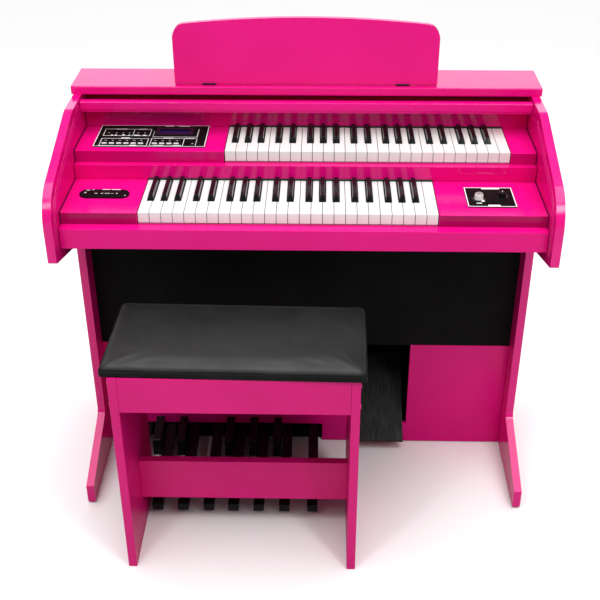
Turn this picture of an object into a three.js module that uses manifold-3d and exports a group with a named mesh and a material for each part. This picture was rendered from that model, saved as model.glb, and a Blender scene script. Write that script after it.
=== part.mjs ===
// Two-manual home organ with pedalboard, expression pedal and bench.
// Millimetres. X to the player's right, Y away from the player, Z up from the floor.
// Sizes along Y are measured from the front edge of the legs; the whole is centred at the end.
import * as THREE from 'three';
import { mergeVertices } from 'three/addons/utils/BufferGeometryUtils.js';
import Module from 'manifold-3d';

const wasm = await Module();
wasm.setup();

// Values that every piece shares
const seam = 0.3;
const overrun = 3;
const arcStep = THREE.MathUtils.degToRad(7);

// Keys of one manual: lengths run back from the key fronts, depths down from the white tops
const whiteCount = 26;
const whitePitch = 23.5;
const whiteGap = 1.1;
const whiteDepth = 22.7;
const whiteWall = 1.8;
const whiteTopWall = 2.4;
const tailDepth = 12;
const tailLead = 6;
const blackBaseWidth = 13.2;
const blackTopWidth = 8.6;
const blackHeight = 10.5;
const blackFrontSlope = 9;
const blackRearSlope = 2;
const blackSkirt = 4;
const blackStemWidth = 10;
const blackSideGap = 1;
const blackFrontGap = 1.5;
const blackFasciaGap = 2.5;
const upperHeadLength = 47.5;
const lowerHeadLength = 56;
const stripTop = 18;
const stripThickness = 8;
const stripWidth = 10;
const stripPitch = 16;
const firstStrip = 159;
const keyDip = 10;
const dipSpare = 3.3;

// Chassis tray under one manual
const trayThickness = 2.5;
const trayFront = 4;
const trayRearGap = 10;
const ridgeWidth = 3;
const trayRearWall = 26;
const trayStopHeight = 3;
const trayStopWidth = 10;
const trayStopStart = 14;

// Case boards: widths and depths of the blocks beside the keys give the case its size
const boardThickness = 18;
const backThickness = 6;
const endGap = 1.2;
const footClearance = 5;
const caseTop = 901;
const caseRearGap = 41.2;
const upperLeftWidth = 324.4;
const upperRightWidth = 56.4;
const lowerLeftWidth = 159.3;
const upperBlockFront = 10.9;
const upperBlockDepth = 140;
const manualStep = 178;
const keySetback = 1.9;
const keyClearance = 3;
const blockKeyGap = 1.5;
const blockDrop = 25.3;
const upperKeyDrop = 79.2;
const upperKeybedThickness = 12;
const underKeybedClearance = 4.9;
const lowerKeybedThickness = 17.3;
const keybedTail = 1.2;
const railThickness = 17;
const apronLip = 11;
const apronThickness = 25;
const fasciaThickness = 12;

// Side boards, with the track of the roll cover
const shoulderSetback = 41;
const shoulderRadius = 70;
const noseReach = 231;
const noseDrop = 85;
const noseHeight = 137;
const noseRadius = 82;
const noseHeelRadius = 5;
const undersideFall = 65.4;
const undersideRadius = 14;
const footRise = 126.5;
const footRadius = 23;
const toeReach = 192;
const toeHeight = 51.5;
const toeRadius = 5;
const grooveInset = 23;
const grooveWidth = 8;
const grooveDepth = 5;
const grooveTail = 4;
const grooveDrop = 13.7;

// Glides under the feet
const glideRadius = 8;
const glideInset = 12;
const glideFootShare = 0.8;
const glideBevelShare = 0.3;
const glideFaces = 20;

// Lid
const lidThickness = 17.7;
const lidSetback = 12.9;
const lidOverhang = 4.1;
const lidEdgeRadius = 2.5;

// Knee panel and lower panel
const panelFace = 52.5;
const kneeThickness = 8;
const lowerPanelThickness = 12;
const lowerPanelTop = 299.5;
const lowerPanelGap = 2;

// Bass pedals: steps from one natural to the next, from the left end of their opening
const pedalInset = 65.9;
const naturalSteps = { C: 28, D: 61, E: 60, F: 60, G: 58, A: 59.5, B: 60, high_C: 65.5 };
const pedalEndGap = 22;
const sharpNeighbours = {
  C_sharp: ['C', 'D'], D_sharp: ['D', 'E'], F_sharp: ['F', 'G'], G_sharp: ['G', 'A'], A_sharp: ['A', 'B'],
};
const sharpShiftShare = 0.72;
const naturalWidth = 24.3;
const naturalReach = 281.5;
const sharpWidth = 19.7;
const tipBottom = 14;
const tipDepth = 21;
const tipRadius = 4;
const tipUnderRadius = 2;
const leverBottomAtPanel = 33;
const leverDepthAtPanel = 18.5;
const leverBottomAtPivot = 36;
const leverDepthAtPivot = 14;
const leverTail = 10;
const leverClearance = 2.5;
const sharpPanelGap = 12.5;
const sharpLength = 87;
const sharpUnder = 28;
const sharpRearTop = 85;
const sharpFall = 8.3;
const sharpRadius = 4;
const sharpRearRun = 5;
const pivotInset = 22;
const axleRadius = 4;
const axleClearance = 0.35;
const axleFaces = 16;

// Pedal frame on the floor
const frameFrontGap = 1;
const frameRearGap = 2;
const frameSideMargin = 4;
const frameBase = 8;
const frameStopDrop = 7;
const frameBoard = 10;
const cheekRise = 11;
const cheekLead = 22;

// Expression pedal, measured along its own tread, and the well that holds it
const wellSpacing = 80;
const wellWall = 9;
const wellRearGap = 8;
const sillGap = 1.3;
const treadSideGap = 4;
const treadEndGap = 9;
const treadWidth = 119.5;
const treadTilt = THREE.MathUtils.degToRad(32);
const treadReach = 45;
const treadHeelZ = 38.8;
const treadHeel = 95;
const treadToe = 145;
const treadThickness = 7;
const treadLip = 11;
const treadLipThickness = 6;
const treadEdgeRadius = 0.6;
const treadPivotDrop = 18;
const ribGrooveDepth = 1.3;
const ribGrooveWidth = 3;
const ribPitch = 8;
const ribBorder = 10;
const lugSpread = 50;
const lugThickness = 8;
const lugRadius = 7;
const stubRadius = 3.5;
const stubClearance = 0.3;
const stubFaces = 20;
const earThickness = 4;
const earGap = 0.5;
const earRadius = 8;

// Control panel on the upper left block
const controlInset = 36.9;
const controlKeyGap = 44.3;
const controlFrontGap = 19.1;
const controlRearGap = 1.9;
const plateThickness = 2;
const plateRadius = 2;
const pocketMargin = 8;
const pocketDepth = 4;
const displayInset = 41.2;
const displayWidth = 66;
const displayRearInset = 22;
const displayDepth = 24.5;
const displayLap = 6;
const paneThickness = 2;
const matThickness = 2.5;
const matMargin = 4;
const matSlack = 1;
const matEndSlack = 5.4;
const barWidth = 11;
const barDepth = 5;
const barProud = 1.5;
const barHoleGap = 0.5;
const barPitchShare = 0.065;
const barGroupShare = 0.4494;
const firstBars = 6;
const secondBars = 4;

// Pill-shaped panel on the lower left block
const pillInset = 25.5;
const pillWidth = 105.1;
const pillFrontGap = 65.3;
const pillDepth = 34.9;
const pillHeight = 5;
const pillBevel = 1.6;
const pillBevelSegments = 1;

// Panel and knobs on the lower right block
const dialInset = 57.9;
const dialFrontGap = 36.1;
const dialDepth = 91;
const volumeInset = 26;
const volumeFrontGap = 36;
const volumeRadius = 9.5;
const volumeHeight = 12;
const toneInset = 24.5;
const toneFrontGap = 51;
const toneRadius = 8;
const toneHeight = 9;
const padWidth = 29;
const padGap = 6.5;
const padUnderTone = 5.5;
const padFrontMargin = 13;
const padRearMargin = 17;
const padHeight = 1.2;
const knobEdge = 1.2;
const knobTaper = 0.8;
const shaftRadius = 3;
const shaftLength = 9;
const shaftGap = 0.4;
const boreMargin = 2;
const shaftFaces = 16;
const knobFaces = 28;

// Roll cover
const coverReach = 41.9;
const coverDrop = 6.7;
const coverRail = 18;
const coverRailRadius = 3;
const slatLead = 3;
const slatRearGap = 22;
const slatCount = 6;
const slatGrooveDepth = 2;
const slatGrooveWidth = 2.4;
const slatClearance = 0.5;
const tongueClearance = 1;

// Music rest and its hinges
const restWidth = 578;
const restSetback = 15.4;
const restThickness = 12;
const restShoulderHeight = 105;
const restCornerRise = 29;
const restCrest = 13.6;
const restCornerInset = 26;
const restCornerShare = 0.33;
const restTopSteps = 16;
const restCornerSteps = 8;
const hingeInset = 76;
const hingeWidth = 30;
const hingeLeaf = 1.5;
const hingeLeafDepth = 16;
const barrelRadius = 2;
const barrelFaces = 12;

// Bench
const benchPedalGap = 6.35;
const benchEndGap = 65.95;
const benchReach = 394.7;
const benchDepth = 268.7;
const benchTopDrop = 180;
const benchBoard = 18.6;
const benchRailDepth = 83;
const benchRailThickness = 18;
const stretcherSetback = 121.1;
const stretcherBottom = 95.3;
const stretcherHeight = 106.2;
const stretcherThickness = 18;

// Cushion, which lies slightly askew on the bench
const cushionOverhang = 14.9;
const cushionFrontLap = 0.37;
const cushionRearInset = 11.07;
const cushionSkew = THREE.MathUtils.degToRad(-1.1);
const cushionCorner = 8;
const cushionCornerLeast = 4;
const cushionBand = 14.5;
const cushionBandRadius = 1.2;
const cushionCrease = 1;
const cushionCrown = 17;
const cushionFullness = 0.7;
const cushionRingPoints = 8;
const cushionCrownRings = 8;

// Derived widths
const manualWidth = whitePitch * whiteCount;
const innerWidth = upperLeftWidth + manualWidth + upperRightWidth;
const inner = innerWidth / 2;
const outer = inner + boardThickness;
const upperKeysLeft = -inner + upperLeftWidth;
const upperKeysRight = upperKeysLeft + manualWidth;
const lowerKeysLeft = -inner + lowerLeftWidth;
const lowerKeysRight = lowerKeysLeft + manualWidth;

// Derived depths
const strips = { black: firstStrip, dfa: firstStrip + stripPitch, cegb: firstStrip + 2 * stripPitch };
const tailStart = firstStrip - stripWidth / 2 - tailLead;
const trayBack = strips.cegb + stripWidth / 2 + trayRearGap;
const fasciaFace = upperBlockFront + upperBlockDepth;
const upperKeyFront = upperBlockFront + keySetback;
const lowerBlockFront = upperBlockFront - manualStep;
const lowerKeyFront = lowerBlockFront + keySetback;
const middleFace = upperBlockFront - seam - railThickness;
const caseBack = upperKeyFront + trayBack + caseRearGap;
const backFace = caseBack - backThickness;
const lidFront = fasciaFace - lidSetback;
const slatFront = fasciaFace - coverReach + slatLead;
const slatBack = backFace - slatRearGap;

// Derived levels
const trayDepth = whiteDepth + keyDip + dipSpare + trayStopHeight + trayThickness;
const upperKeyTop = caseTop - upperKeyDrop;
const upperKeybedTop = upperKeyTop - trayDepth - seam;
const upperKeybedBottom = upperKeybedTop - upperKeybedThickness;
const lowerKeyTop = upperKeybedBottom - underKeybedClearance;
const lowerKeybedTop = lowerKeyTop - trayDepth - seam;
const lowerKeybedBottom = lowerKeybedTop - lowerKeybedThickness;
const apronBottom = lowerKeybedBottom - apronLip;
const upperLedge = upperKeyTop - blockDrop;
const lowerLedge = lowerKeyTop - blockDrop;
const lidBottom = caseTop + seam;
const lidTop = lidBottom + lidThickness;
const coverBottom = caseTop - grooveInset - grooveWidth + slatClearance;
const slatTop = caseTop - grooveInset - slatClearance;

// Looks
const pink = { color: 0xd81b74, roughness: 0.38, metalness: 0 };
const blackPaint = { color: 0x141414, roughness: 0.6, metalness: 0 };
const blackPlastic = { color: 0x1a1a1a, roughness: 0.35, metalness: 0 };
const ivory = { color: 0xf6f6f6, roughness: 0.22, metalness: 0 };
const glossBlack = { color: 0x0d0d0e, roughness: 0.15, metalness: 0 };
const steel = { color: 0x8a8d90, roughness: 0.4, metalness: 0.9 };
const displayBlue = { color: 0x1a1450, roughness: 0.1, metalness: 0 };
const leather = { color: 0x2c2e2e, roughness: 0.55, metalness: 0 };
const greyPlastic = { color: 0xd9d6d4, roughness: 0.4, metalness: 0 };
const whiteRubber = { color: 0xdedede, roughness: 0.6, metalness: 0 };

// Solid operations: a closed geometry becomes a solid, and a solid a geometry again
function toSolid(geometry) {
  const bare = geometry.clone();
  bare.deleteAttribute('normal');
  bare.deleteAttribute('uv');
  const merged = mergeVertices(bare, 1e-4);
  const data = { numProp: 3, vertProperties: merged.attributes.position.array, triVerts: merged.index.array };
  return new wasm.Manifold(new wasm.Mesh(data));
}

function toGeometry(solid) {
  const { vertProperties, triVerts } = solid.getMesh();
  const geometry = new THREE.BufferGeometry();
  geometry.setAttribute('position', new THREE.BufferAttribute(new Float32Array(vertProperties), 3));
  geometry.setIndex(new THREE.BufferAttribute(new Uint32Array(triVerts), 1));
  geometry.computeVertexNormals();
  return geometry;
}

function cut(geometry, ...tools) {
  return toGeometry(tools.reduce((solid, tool) => solid.subtract(toSolid(tool)), toSolid(geometry)));
}

function join(first, ...others) {
  return toGeometry(others.reduce((solid, other) => solid.add(toSolid(other)), toSolid(first)));
}

// A closed outline as points; each corner is [a, b, radius] and a radius rounds it with an arc
function inward(before, corner, after, distance) {
  const here = new THREE.Vector2(corner[0], corner[1]);
  const back = new THREE.Vector2(before[0], before[1]).sub(here).normalize();
  const ahead = new THREE.Vector2(after[0], after[1]).sub(here).normalize();
  const half = Math.acos(back.dot(ahead)) / 2;
  const centre = back.clone().add(ahead).normalize().multiplyScalar(distance / Math.sin(half)).add(here);
  return { here, back, ahead, half, centre };
}

function rounded(corners) {
  const points = [];
  corners.forEach((corner, index) => {
    const radius = corner[2];
    if (!radius) {
      points.push(new THREE.Vector2(corner[0], corner[1]));
      return;
    }
    const turn = inward(corners.at(index - 1), corner, corners[(index + 1) % corners.length], radius);
    const reach = radius / Math.tan(turn.half);
    const start = turn.here.clone().addScaledVector(turn.back, reach).sub(turn.centre);
    const end = turn.here.clone().addScaledVector(turn.ahead, reach).sub(turn.centre);
    const sweep = Math.atan2(start.cross(end), start.dot(end));
    const count = Math.max(2, Math.ceil(Math.abs(sweep) / arcStep));
    for (let i = 0; i <= count; i += 1) {
      const angle = start.angle() + (sweep * i) / count;
      const spoke = new THREE.Vector2(Math.cos(angle), Math.sin(angle));
      points.push(turn.centre.clone().addScaledVector(spoke, radius));
    }
  });
  return points;
}

// Extrusions: an outline in Y and Z along X, in X and Z along Y, and in X and Y along Z
function extruded(points, depth) {
  return new THREE.ExtrudeGeometry(new THREE.Shape(points), { depth, bevelEnabled: false });
}

function alongX(points, x0, x1) {
  const basis = new THREE.Matrix4().makeBasis(
    new THREE.Vector3(0, 1, 0), new THREE.Vector3(0, 0, 1), new THREE.Vector3(1, 0, 0));
  return extruded(points, x1 - x0).applyMatrix4(basis).translate(x0, 0, 0);
}

function alongY(points, y0, y1) {
  return extruded(points, y1 - y0).rotateX(Math.PI / 2).translate(0, y1, 0);
}

function alongZ(points, z0, z1) {
  return extruded(points, z1 - z0).translate(0, 0, z0);
}

function block(x0, x1, y0, y1, z0, z1) {
  const geometry = new THREE.BoxGeometry(x1 - x0, y1 - y0, z1 - z0);
  return geometry.translate((x0 + x1) / 2, (y0 + y1) / 2, (z0 + z1) / 2);
}

function rectangle(a0, a1, b0, b1, radius) {
  return rounded([[a0, b0, radius], [a1, b0, radius], [a1, b1, radius], [a0, b1, radius]]);
}

function rodX(radius, x0, x1, y, z, faces) {
  const geometry = new THREE.CylinderGeometry(radius, radius, x1 - x0, faces);
  return geometry.rotateZ(Math.PI / 2).translate((x0 + x1) / 2, y, z);
}

function rodZ(radius, z0, z1, x, y, faces) {
  const geometry = new THREE.CylinderGeometry(radius, radius, z1 - z0, faces);
  return geometry.rotateX(Math.PI / 2).translate(x, y, (z0 + z1) / 2);
}

function piece(parent, name, look, geometry) {
  const mesh = new THREE.Mesh(geometry, new THREE.MeshStandardMaterial(look));
  mesh.name = name;
  parent.add(mesh);
  return mesh;
}

const organ = new THREE.Group();

// Side boards: wing, leg and foot in one board, with the track of the roll cover in the inner face
const sideCorners = [
  [caseBack, footClearance, 0],
  [caseBack, caseTop, 0],
  [shoulderSetback, caseTop, shoulderRadius],
  [-noseReach, caseTop - noseDrop, noseRadius],
  [-noseReach, caseTop - noseDrop - noseHeight, noseHeelRadius],
  [0, caseTop - noseDrop - noseHeight - undersideFall, undersideRadius],
  [0, footRise, footRadius],
  [-toeReach, toeHeight, toeRadius],
  [-toeReach, footClearance, 0],
];

function trackCorners(inset) {
  const [, top, shoulder, nose, chin] = sideCorners;
  const bend = inward(top, shoulder, nose, inset).centre;
  const tip = inward(shoulder, nose, chin, inset).centre;
  const noseCentre = inward(shoulder, nose, chin, noseRadius).centre;
  return [
    [slatBack + grooveTail, caseTop - inset, 0],
    [bend.x, bend.y, shoulderRadius - inset],
    [tip.x, tip.y, noseRadius - inset],
    [-noseReach + inset, noseCentre.y - grooveDrop, 0],
  ];
}

function makeSidePanel(name, side) {
  const track = rounded([...trackCorners(grooveInset), ...trackCorners(grooveInset + grooveWidth).reverse()]);
  const grooveStart = inner + grooveDepth;
  const span = side < 0 ? [-outer, -inner] : [inner, outer];
  const groove = side < 0 ? [-grooveStart, -inner + overrun] : [inner - overrun, grooveStart];
  const board = alongX(rounded(sideCorners), ...span);
  piece(organ, name, pink, cut(board, alongX(track, ...groove)));
}

makeSidePanel('left_side_panel', -1);
makeSidePanel('right_side_panel', 1);

// Glides: turned black studs under the ends of each side board
const glideTop = footClearance - seam;
const glideProfile = [
  [0, 0], [glideRadius * glideFootShare, 0], [glideRadius, footClearance * glideBevelShare],
  [glideRadius, glideTop], [0, glideTop],
];
for (const [name, side, y] of [
  ['front_left_glide', -1, -toeReach + glideInset],
  ['front_right_glide', 1, -toeReach + glideInset],
  ['rear_left_glide', -1, caseBack - glideInset],
  ['rear_right_glide', 1, caseBack - glideInset],
]) {
  const turned = new THREE.LatheGeometry(glideProfile.map(([r, z]) => new THREE.Vector2(r, z)), glideFaces);
  const glide = piece(organ, name, blackPlastic, turned.rotateX(Math.PI / 2));
  glide.position.set(side * (inner + boardThickness / 2), y, 0);
}

// Lid, back board and upper fascia
const lidSection = [[lidFront, lidBottom, 0], [caseBack, lidBottom, 0],
  [caseBack, lidTop, lidEdgeRadius], [lidFront, lidTop, lidEdgeRadius]];
piece(organ, 'top_lid', pink, alongX(rounded(lidSection), -outer - lidOverhang, outer + lidOverhang));
piece(organ, 'back_panel', blackPaint,
  block(-inner + seam, inner - seam, backFace, caseBack, footClearance, caseTop - seam));

const fasciaTop = coverBottom - slatClearance - seam;
const fasciaBottom = upperKeyTop + seam;
const fasciaOutline = [
  [-inner + endGap, fasciaBottom], [upperKeysLeft, fasciaBottom],
  [upperKeysLeft, upperKeyTop + keyClearance], [upperKeysRight, upperKeyTop + keyClearance],
  [upperKeysRight, fasciaBottom], [inner - endGap, fasciaBottom],
  [inner - endGap, fasciaTop], [-inner + endGap, fasciaTop],
];
piece(organ, 'upper_fascia', pink, alongY(rounded(fasciaOutline), fasciaFace, fasciaFace + fasciaThickness));

// Boards that carry the keys
piece(organ, 'upper_keybed', blackPaint,
  block(-inner + seam, inner - seam, upperBlockFront, backFace - seam, upperKeybedBottom, upperKeybedTop));
const lowerBlockBack = lowerKeyFront + trayBack;
piece(organ, 'lower_keybed', blackPaint, block(-inner + seam, inner - seam,
  lowerBlockFront, lowerBlockBack + keybedTail, lowerKeybedBottom, lowerKeybedTop));

// Rails in front of the keys; the middle one is notched over the lower keys
const railOutline = [
  [-inner + endGap, lowerKeyTop + seam], [lowerKeysLeft, lowerKeyTop + seam],
  [lowerKeysLeft, lowerKeyTop + keyClearance], [lowerKeysRight, lowerKeyTop + keyClearance],
  [lowerKeysRight, lowerKeyTop + seam], [inner - endGap, lowerKeyTop + seam],
  [inner - endGap, upperLedge], [-inner + endGap, upperLedge],
];
piece(organ, 'middle_rail', pink, alongY(rounded(railOutline), middleFace, upperBlockFront - seam));
const apronBack = lowerBlockFront - seam;
piece(organ, 'front_apron', pink,
  block(-inner + endGap, inner - endGap, apronBack - apronThickness, apronBack, apronBottom, lowerLedge));

// Places of the panels and knobs on the blocks
const controlLeft = -inner + controlInset;
const controlRight = upperKeysLeft - controlKeyGap;
const controlFront = upperBlockFront + controlFrontGap;
const controlBack = fasciaFace - controlRearGap;
const dialRight = inner - dialInset;
const dialFront = lowerBlockFront + dialFrontGap;
const toneX = dialRight - toneInset;
const padRight = toneX - padUnderTone;
const padLeft = padRight - padWidth;
const volumeX = padLeft - padGap - volumeRadius;
const knobPlaces = [[volumeX, dialFront + volumeFrontGap], [toneX, dialFront + toneFrontGap]];

// Blocks beside the keys, with the seats of the panels and knobs
const upperBlockBack = fasciaFace + fasciaThickness;
const upperLeftBlock = block(-inner + endGap, upperKeysLeft - blockKeyGap,
  upperBlockFront, upperBlockBack, upperKeybedTop + seam, upperKeyTop);
const pocket = block(controlLeft + pocketMargin, controlRight - pocketMargin,
  controlFront + pocketMargin, controlBack - pocketMargin, upperKeyTop - pocketDepth, upperKeyTop + overrun);
piece(organ, 'upper_left_block', pink, cut(upperLeftBlock, pocket));
piece(organ, 'upper_right_block', pink, block(upperKeysRight + blockKeyGap, inner - endGap,
  upperBlockFront, upperBlockBack, upperKeybedTop + seam, upperKeyTop));
piece(organ, 'lower_left_block', pink, block(-inner + endGap, lowerKeysLeft - blockKeyGap,
  lowerBlockFront, lowerBlockBack, lowerKeybedTop + seam, lowerKeyTop));
const bores = knobPlaces.map(([x, y]) => rodZ(shaftRadius + boreMargin,
  lowerKeyTop - shaftLength - boreMargin, lowerKeyTop + overrun, x, y, shaftFaces));
piece(organ, 'lower_right_block', pink, cut(block(lowerKeysRight + blockKeyGap, inner - endGap,
  lowerBlockFront, lowerBlockBack, lowerKeybedTop + seam, lowerKeyTop), ...bores));

// Control panel: a thin plate with a display window and two rows of bar buttons on one rubber mat
const controlPlateBottom = upperKeyTop + seam;
const controlPlateTop = controlPlateBottom + plateThickness;
const displayRight = controlRight - displayInset;
const displayLeft = displayRight - displayWidth;
const displayBack = controlBack - displayRearInset;
const displayFront = displayBack - displayDepth;
const controlWidth = controlRight - controlLeft;
const barFirst = controlLeft + pocketMargin + matEndSlack + matMargin + barWidth / 2;
const barY = controlFront + pocketMargin + matSlack + matMargin + barDepth / 2;
const barCentres = [[0, firstBars], [barGroupShare, secondBars]].flatMap(([groupShare, count]) =>
  Array.from({ length: count }, (_, i) => barFirst + controlWidth * (groupShare + i * barPitchShare)));
const controlPlate = alongZ(rectangle(controlLeft, controlRight, controlFront, controlBack, plateRadius),
  controlPlateBottom, controlPlateTop);
const displayHole = block(displayLeft, displayRight, displayFront, displayBack,
  controlPlateBottom - overrun, controlPlateTop + overrun);
const barHole = barWidth / 2 + barHoleGap;
const barHoles = barCentres.map((x) => block(x - barHole, x + barHole,
  barY - barDepth / 2 - barHoleGap, barY + barDepth / 2 + barHoleGap,
  controlPlateBottom - overrun, controlPlateTop + overrun));
piece(organ, 'control_panel', blackPlastic, cut(controlPlate, displayHole, ...barHoles));
piece(organ, 'display_window', displayBlue, block(displayLeft - displayLap, displayRight + displayLap,
  displayFront - displayLap, displayBack + displayLap, upperKeyTop - paneThickness, upperKeyTop));
const matTop = upperKeyTop;
const matLeft = Math.min(...barCentres) - barWidth / 2 - matMargin;
const matRight = Math.max(...barCentres) + barWidth / 2 + matMargin;
const mat = block(matLeft, matRight,
  barY - barDepth / 2 - matMargin, barY + barDepth / 2 + matMargin, matTop - matThickness, matTop);
const bars = barCentres.map((x) => block(x - barWidth / 2, x + barWidth / 2,
  barY - barDepth / 2, barY + barDepth / 2, matTop - matThickness / 2, controlPlateTop + barProud));
piece(organ, 'control_keypad', whiteRubber, join(mat, ...bars));

// Pill-shaped panel, a stadium with a rounded rim
const pillLeft = -inner + pillInset;
const pillFront = lowerBlockFront + pillFrontGap;
const pillShape = new THREE.Shape(rectangle(
  pillLeft + pillBevel, pillLeft + pillWidth - pillBevel,
  pillFront + pillBevel, pillFront + pillDepth - pillBevel, pillDepth / 2 - pillBevel - seam));
const pill = new THREE.ExtrudeGeometry(pillShape, {
  depth: pillHeight - 2 * pillBevel, bevelThickness: pillBevel, bevelSize: pillBevel,
  bevelSegments: pillBevelSegments,
});
piece(organ, 'pill_panel', blackPlastic, pill).position.z = lowerKeyTop + seam + pillBevel;

// Dial panel with a raised pad, and the two knobs with their shafts
const dialBottom = lowerKeyTop + seam;
const dialTop = dialBottom + plateThickness;
const padTop = dialTop + padHeight;
const dialBack = dialFront + dialDepth;
const dialPlate = alongZ(
  rectangle(volumeX - volumeInset, dialRight, dialFront, dialBack, plateRadius), dialBottom, dialTop);
const dialPad = block(padLeft, padRight, dialFront + padFrontMargin, dialBack - padRearMargin,
  dialBottom + plateThickness / 2, padTop);
const shaftHoles = knobPlaces.map(([x, y]) => rodZ(shaftRadius + shaftGap,
  dialBottom - overrun, padTop + overrun, x, y, shaftFaces));
const padRelief = rodZ(toneRadius + shaftGap, dialTop, padTop + overrun, ...knobPlaces[1], knobFaces);
piece(organ, 'dial_panel', blackPlastic, cut(join(dialPlate, dialPad), padRelief, ...shaftHoles));

function makeKnob(name, look, radius, height, [x, y]) {
  const profile = [
    [0, -shaftLength], [shaftRadius, -shaftLength], [shaftRadius, 0], [radius, 0],
    [radius - knobTaper, height - knobEdge], [radius - knobTaper - knobEdge, height], [0, height],
  ];
  const turned = new THREE.LatheGeometry(profile.map(([r, z]) => new THREE.Vector2(r, z)), knobFaces);
  piece(organ, name, look, turned.rotateX(Math.PI / 2)).position.set(x, y, dialTop + seam);
}

makeKnob('volume_knob', greyPlastic, volumeRadius, volumeHeight, knobPlaces[0]);
makeKnob('tone_knob', blackPlastic, toneRadius, toneHeight, knobPlaces[1]);

// One manual from F to C. Three moulded combs interleave: two of white keys and one of black keys.
// Each comb's keys run back to a strip of its own, which lies on a knife ridge of the chassis tray.
// The group's origin is the left end of the keys, at their front, on the white tops.
const octave = ['F', 'G', 'A', 'B', 'C', 'D', 'E'];
const whiteNames = Array.from({ length: whiteCount }, (_, i) => octave[i % octave.length]);
const blackAfter = { C: -0.15, D: 0.15, F: -0.2, G: 0, A: 0.2 };
const hasBlack = (index) => index >= 0 && index < whiteNames.length - 1 && whiteNames[index] in blackAfter;
const blackCentre = (index) => (index + 1 + blackAfter[whiteNames[index]]) * whitePitch;

function whiteKey(index, headLength, keyEnd) {
  const left = index * whitePitch + whiteGap / 2;
  const right = (index + 1) * whitePitch - whiteGap / 2;
  const notch = blackBaseWidth / 2 + blackSideGap;
  const tailLeft = hasBlack(index - 1) ? Math.max(left, blackCentre(index - 1) + notch) : left;
  const tailRight = hasBlack(index) ? Math.min(right, blackCentre(index) - notch) : right;
  const headEnd = headLength - blackFrontGap;
  const plan = (inset, end) => {
    const points = [[left + inset, inset], [right - inset, inset]];
    if (tailRight < right) {
      points.push([right - inset, headEnd - inset], [tailRight - inset, headEnd - inset]);
    }
    points.push([tailRight - inset, end], [tailLeft + inset, end]);
    if (tailLeft > left) {
      points.push([tailLeft + inset, headEnd - inset], [left + inset, headEnd - inset]);
    }
    return rounded(points);
  };
  const body = alongZ(plan(0, keyEnd), -whiteDepth, 0);
  const hollow = alongZ(plan(whiteWall, tailStart - whiteWall), -whiteDepth - overrun, -whiteTopWall);
  const under = block(left - overrun, right + overrun, tailStart, keyEnd - stripWidth,
    -whiteDepth - overrun, -tailDepth);
  return cut(body, hollow, under);
}

function blackKey(index, headLength, capEnd, keyEnd) {
  const x = blackCentre(index);
  const cap = new THREE.BoxGeometry(blackBaseWidth, capEnd - headLength, blackHeight + blackSkirt);
  const corners = cap.attributes.position;
  for (let i = 0; i < corners.count; i += 1) {
    if (corners.getZ(i) > 0) {
      const front = corners.getY(i) < 0;
      corners.setX(i, Math.sign(corners.getX(i)) * (blackTopWidth / 2));
      corners.setY(i, corners.getY(i) + (front ? blackFrontSlope : -blackRearSlope));
    }
  }
  cap.translate(x, (headLength + capEnd) / 2, (blackHeight - blackSkirt) / 2);
  const stemStart = headLength + blackFrontSlope / 2;
  const stem = block(x - blackStemWidth / 2, x + blackStemWidth / 2, stemStart, keyEnd,
    -stripTop - seam, -seam);
  return join(cap, stem);
}

function keyStrip(keyEnd) {
  return block(whiteGap / 2, manualWidth - whiteGap / 2, keyEnd - stripWidth, keyEnd,
    -stripTop - stripThickness, -stripTop);
}

function makeManual(level, keysLeft, keyFront, keyTop, headLength, fascia) {
  const manual = new THREE.Group();
  manual.position.set(keysLeft, keyFront, keyTop);
  const capEnd = fascia - keyFront - blackFasciaGap;
  const ends = Object.fromEntries(Object.entries(strips).map(([key, y]) => [key, y + stripWidth / 2]));
  const combs = { cegb: [keyStrip(ends.cegb)], dfa: [keyStrip(ends.dfa)], black: [keyStrip(ends.black)] };
  whiteNames.forEach((letter, index) => {
    const comb = 'DFA'.includes(letter) ? 'dfa' : 'cegb';
    combs[comb].push(whiteKey(index, headLength, ends[comb]));
    if (hasBlack(index)) combs.black.push(blackKey(index, headLength, capEnd, ends.black));
  });
  piece(manual, `${level}_white_keys_cegb`, ivory, join(...combs.cegb));
  piece(manual, `${level}_white_keys_dfa`, ivory, join(...combs.dfa));
  piece(manual, `${level}_black_keys`, glossBlack, join(...combs.black));

  // Pressed tray: floor, a felt step under the key fronts, three knife ridges and a rear wall
  const floor = block(0, manualWidth, trayFront, trayBack, -trayDepth, -trayDepth + trayThickness);
  const ridgeTop = -stripTop - stripThickness - seam;
  const ridges = Object.values(strips).map((y) => block(0, manualWidth,
    y - ridgeWidth / 2, y + ridgeWidth / 2, -trayDepth + trayThickness / 2, ridgeTop));
  const wall = block(0, manualWidth, trayBack - trayThickness, trayBack,
    -trayDepth + trayThickness / 2, -trayDepth + trayRearWall);
  const stop = block(0, manualWidth, trayStopStart, trayStopStart + trayStopWidth,
    -trayDepth + trayThickness / 2, -trayDepth + trayThickness + trayStopHeight);
  piece(manual, `${level}_key_chassis`, steel, join(floor, ...ridges, wall, stop));
  organ.add(manual);
}

makeManual('upper', upperKeysLeft, upperKeyFront, upperKeyTop, upperHeadLength, fasciaFace);
makeManual('lower', lowerKeysLeft, lowerKeyFront, lowerKeyTop, lowerHeadLength, middleFace);

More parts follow.
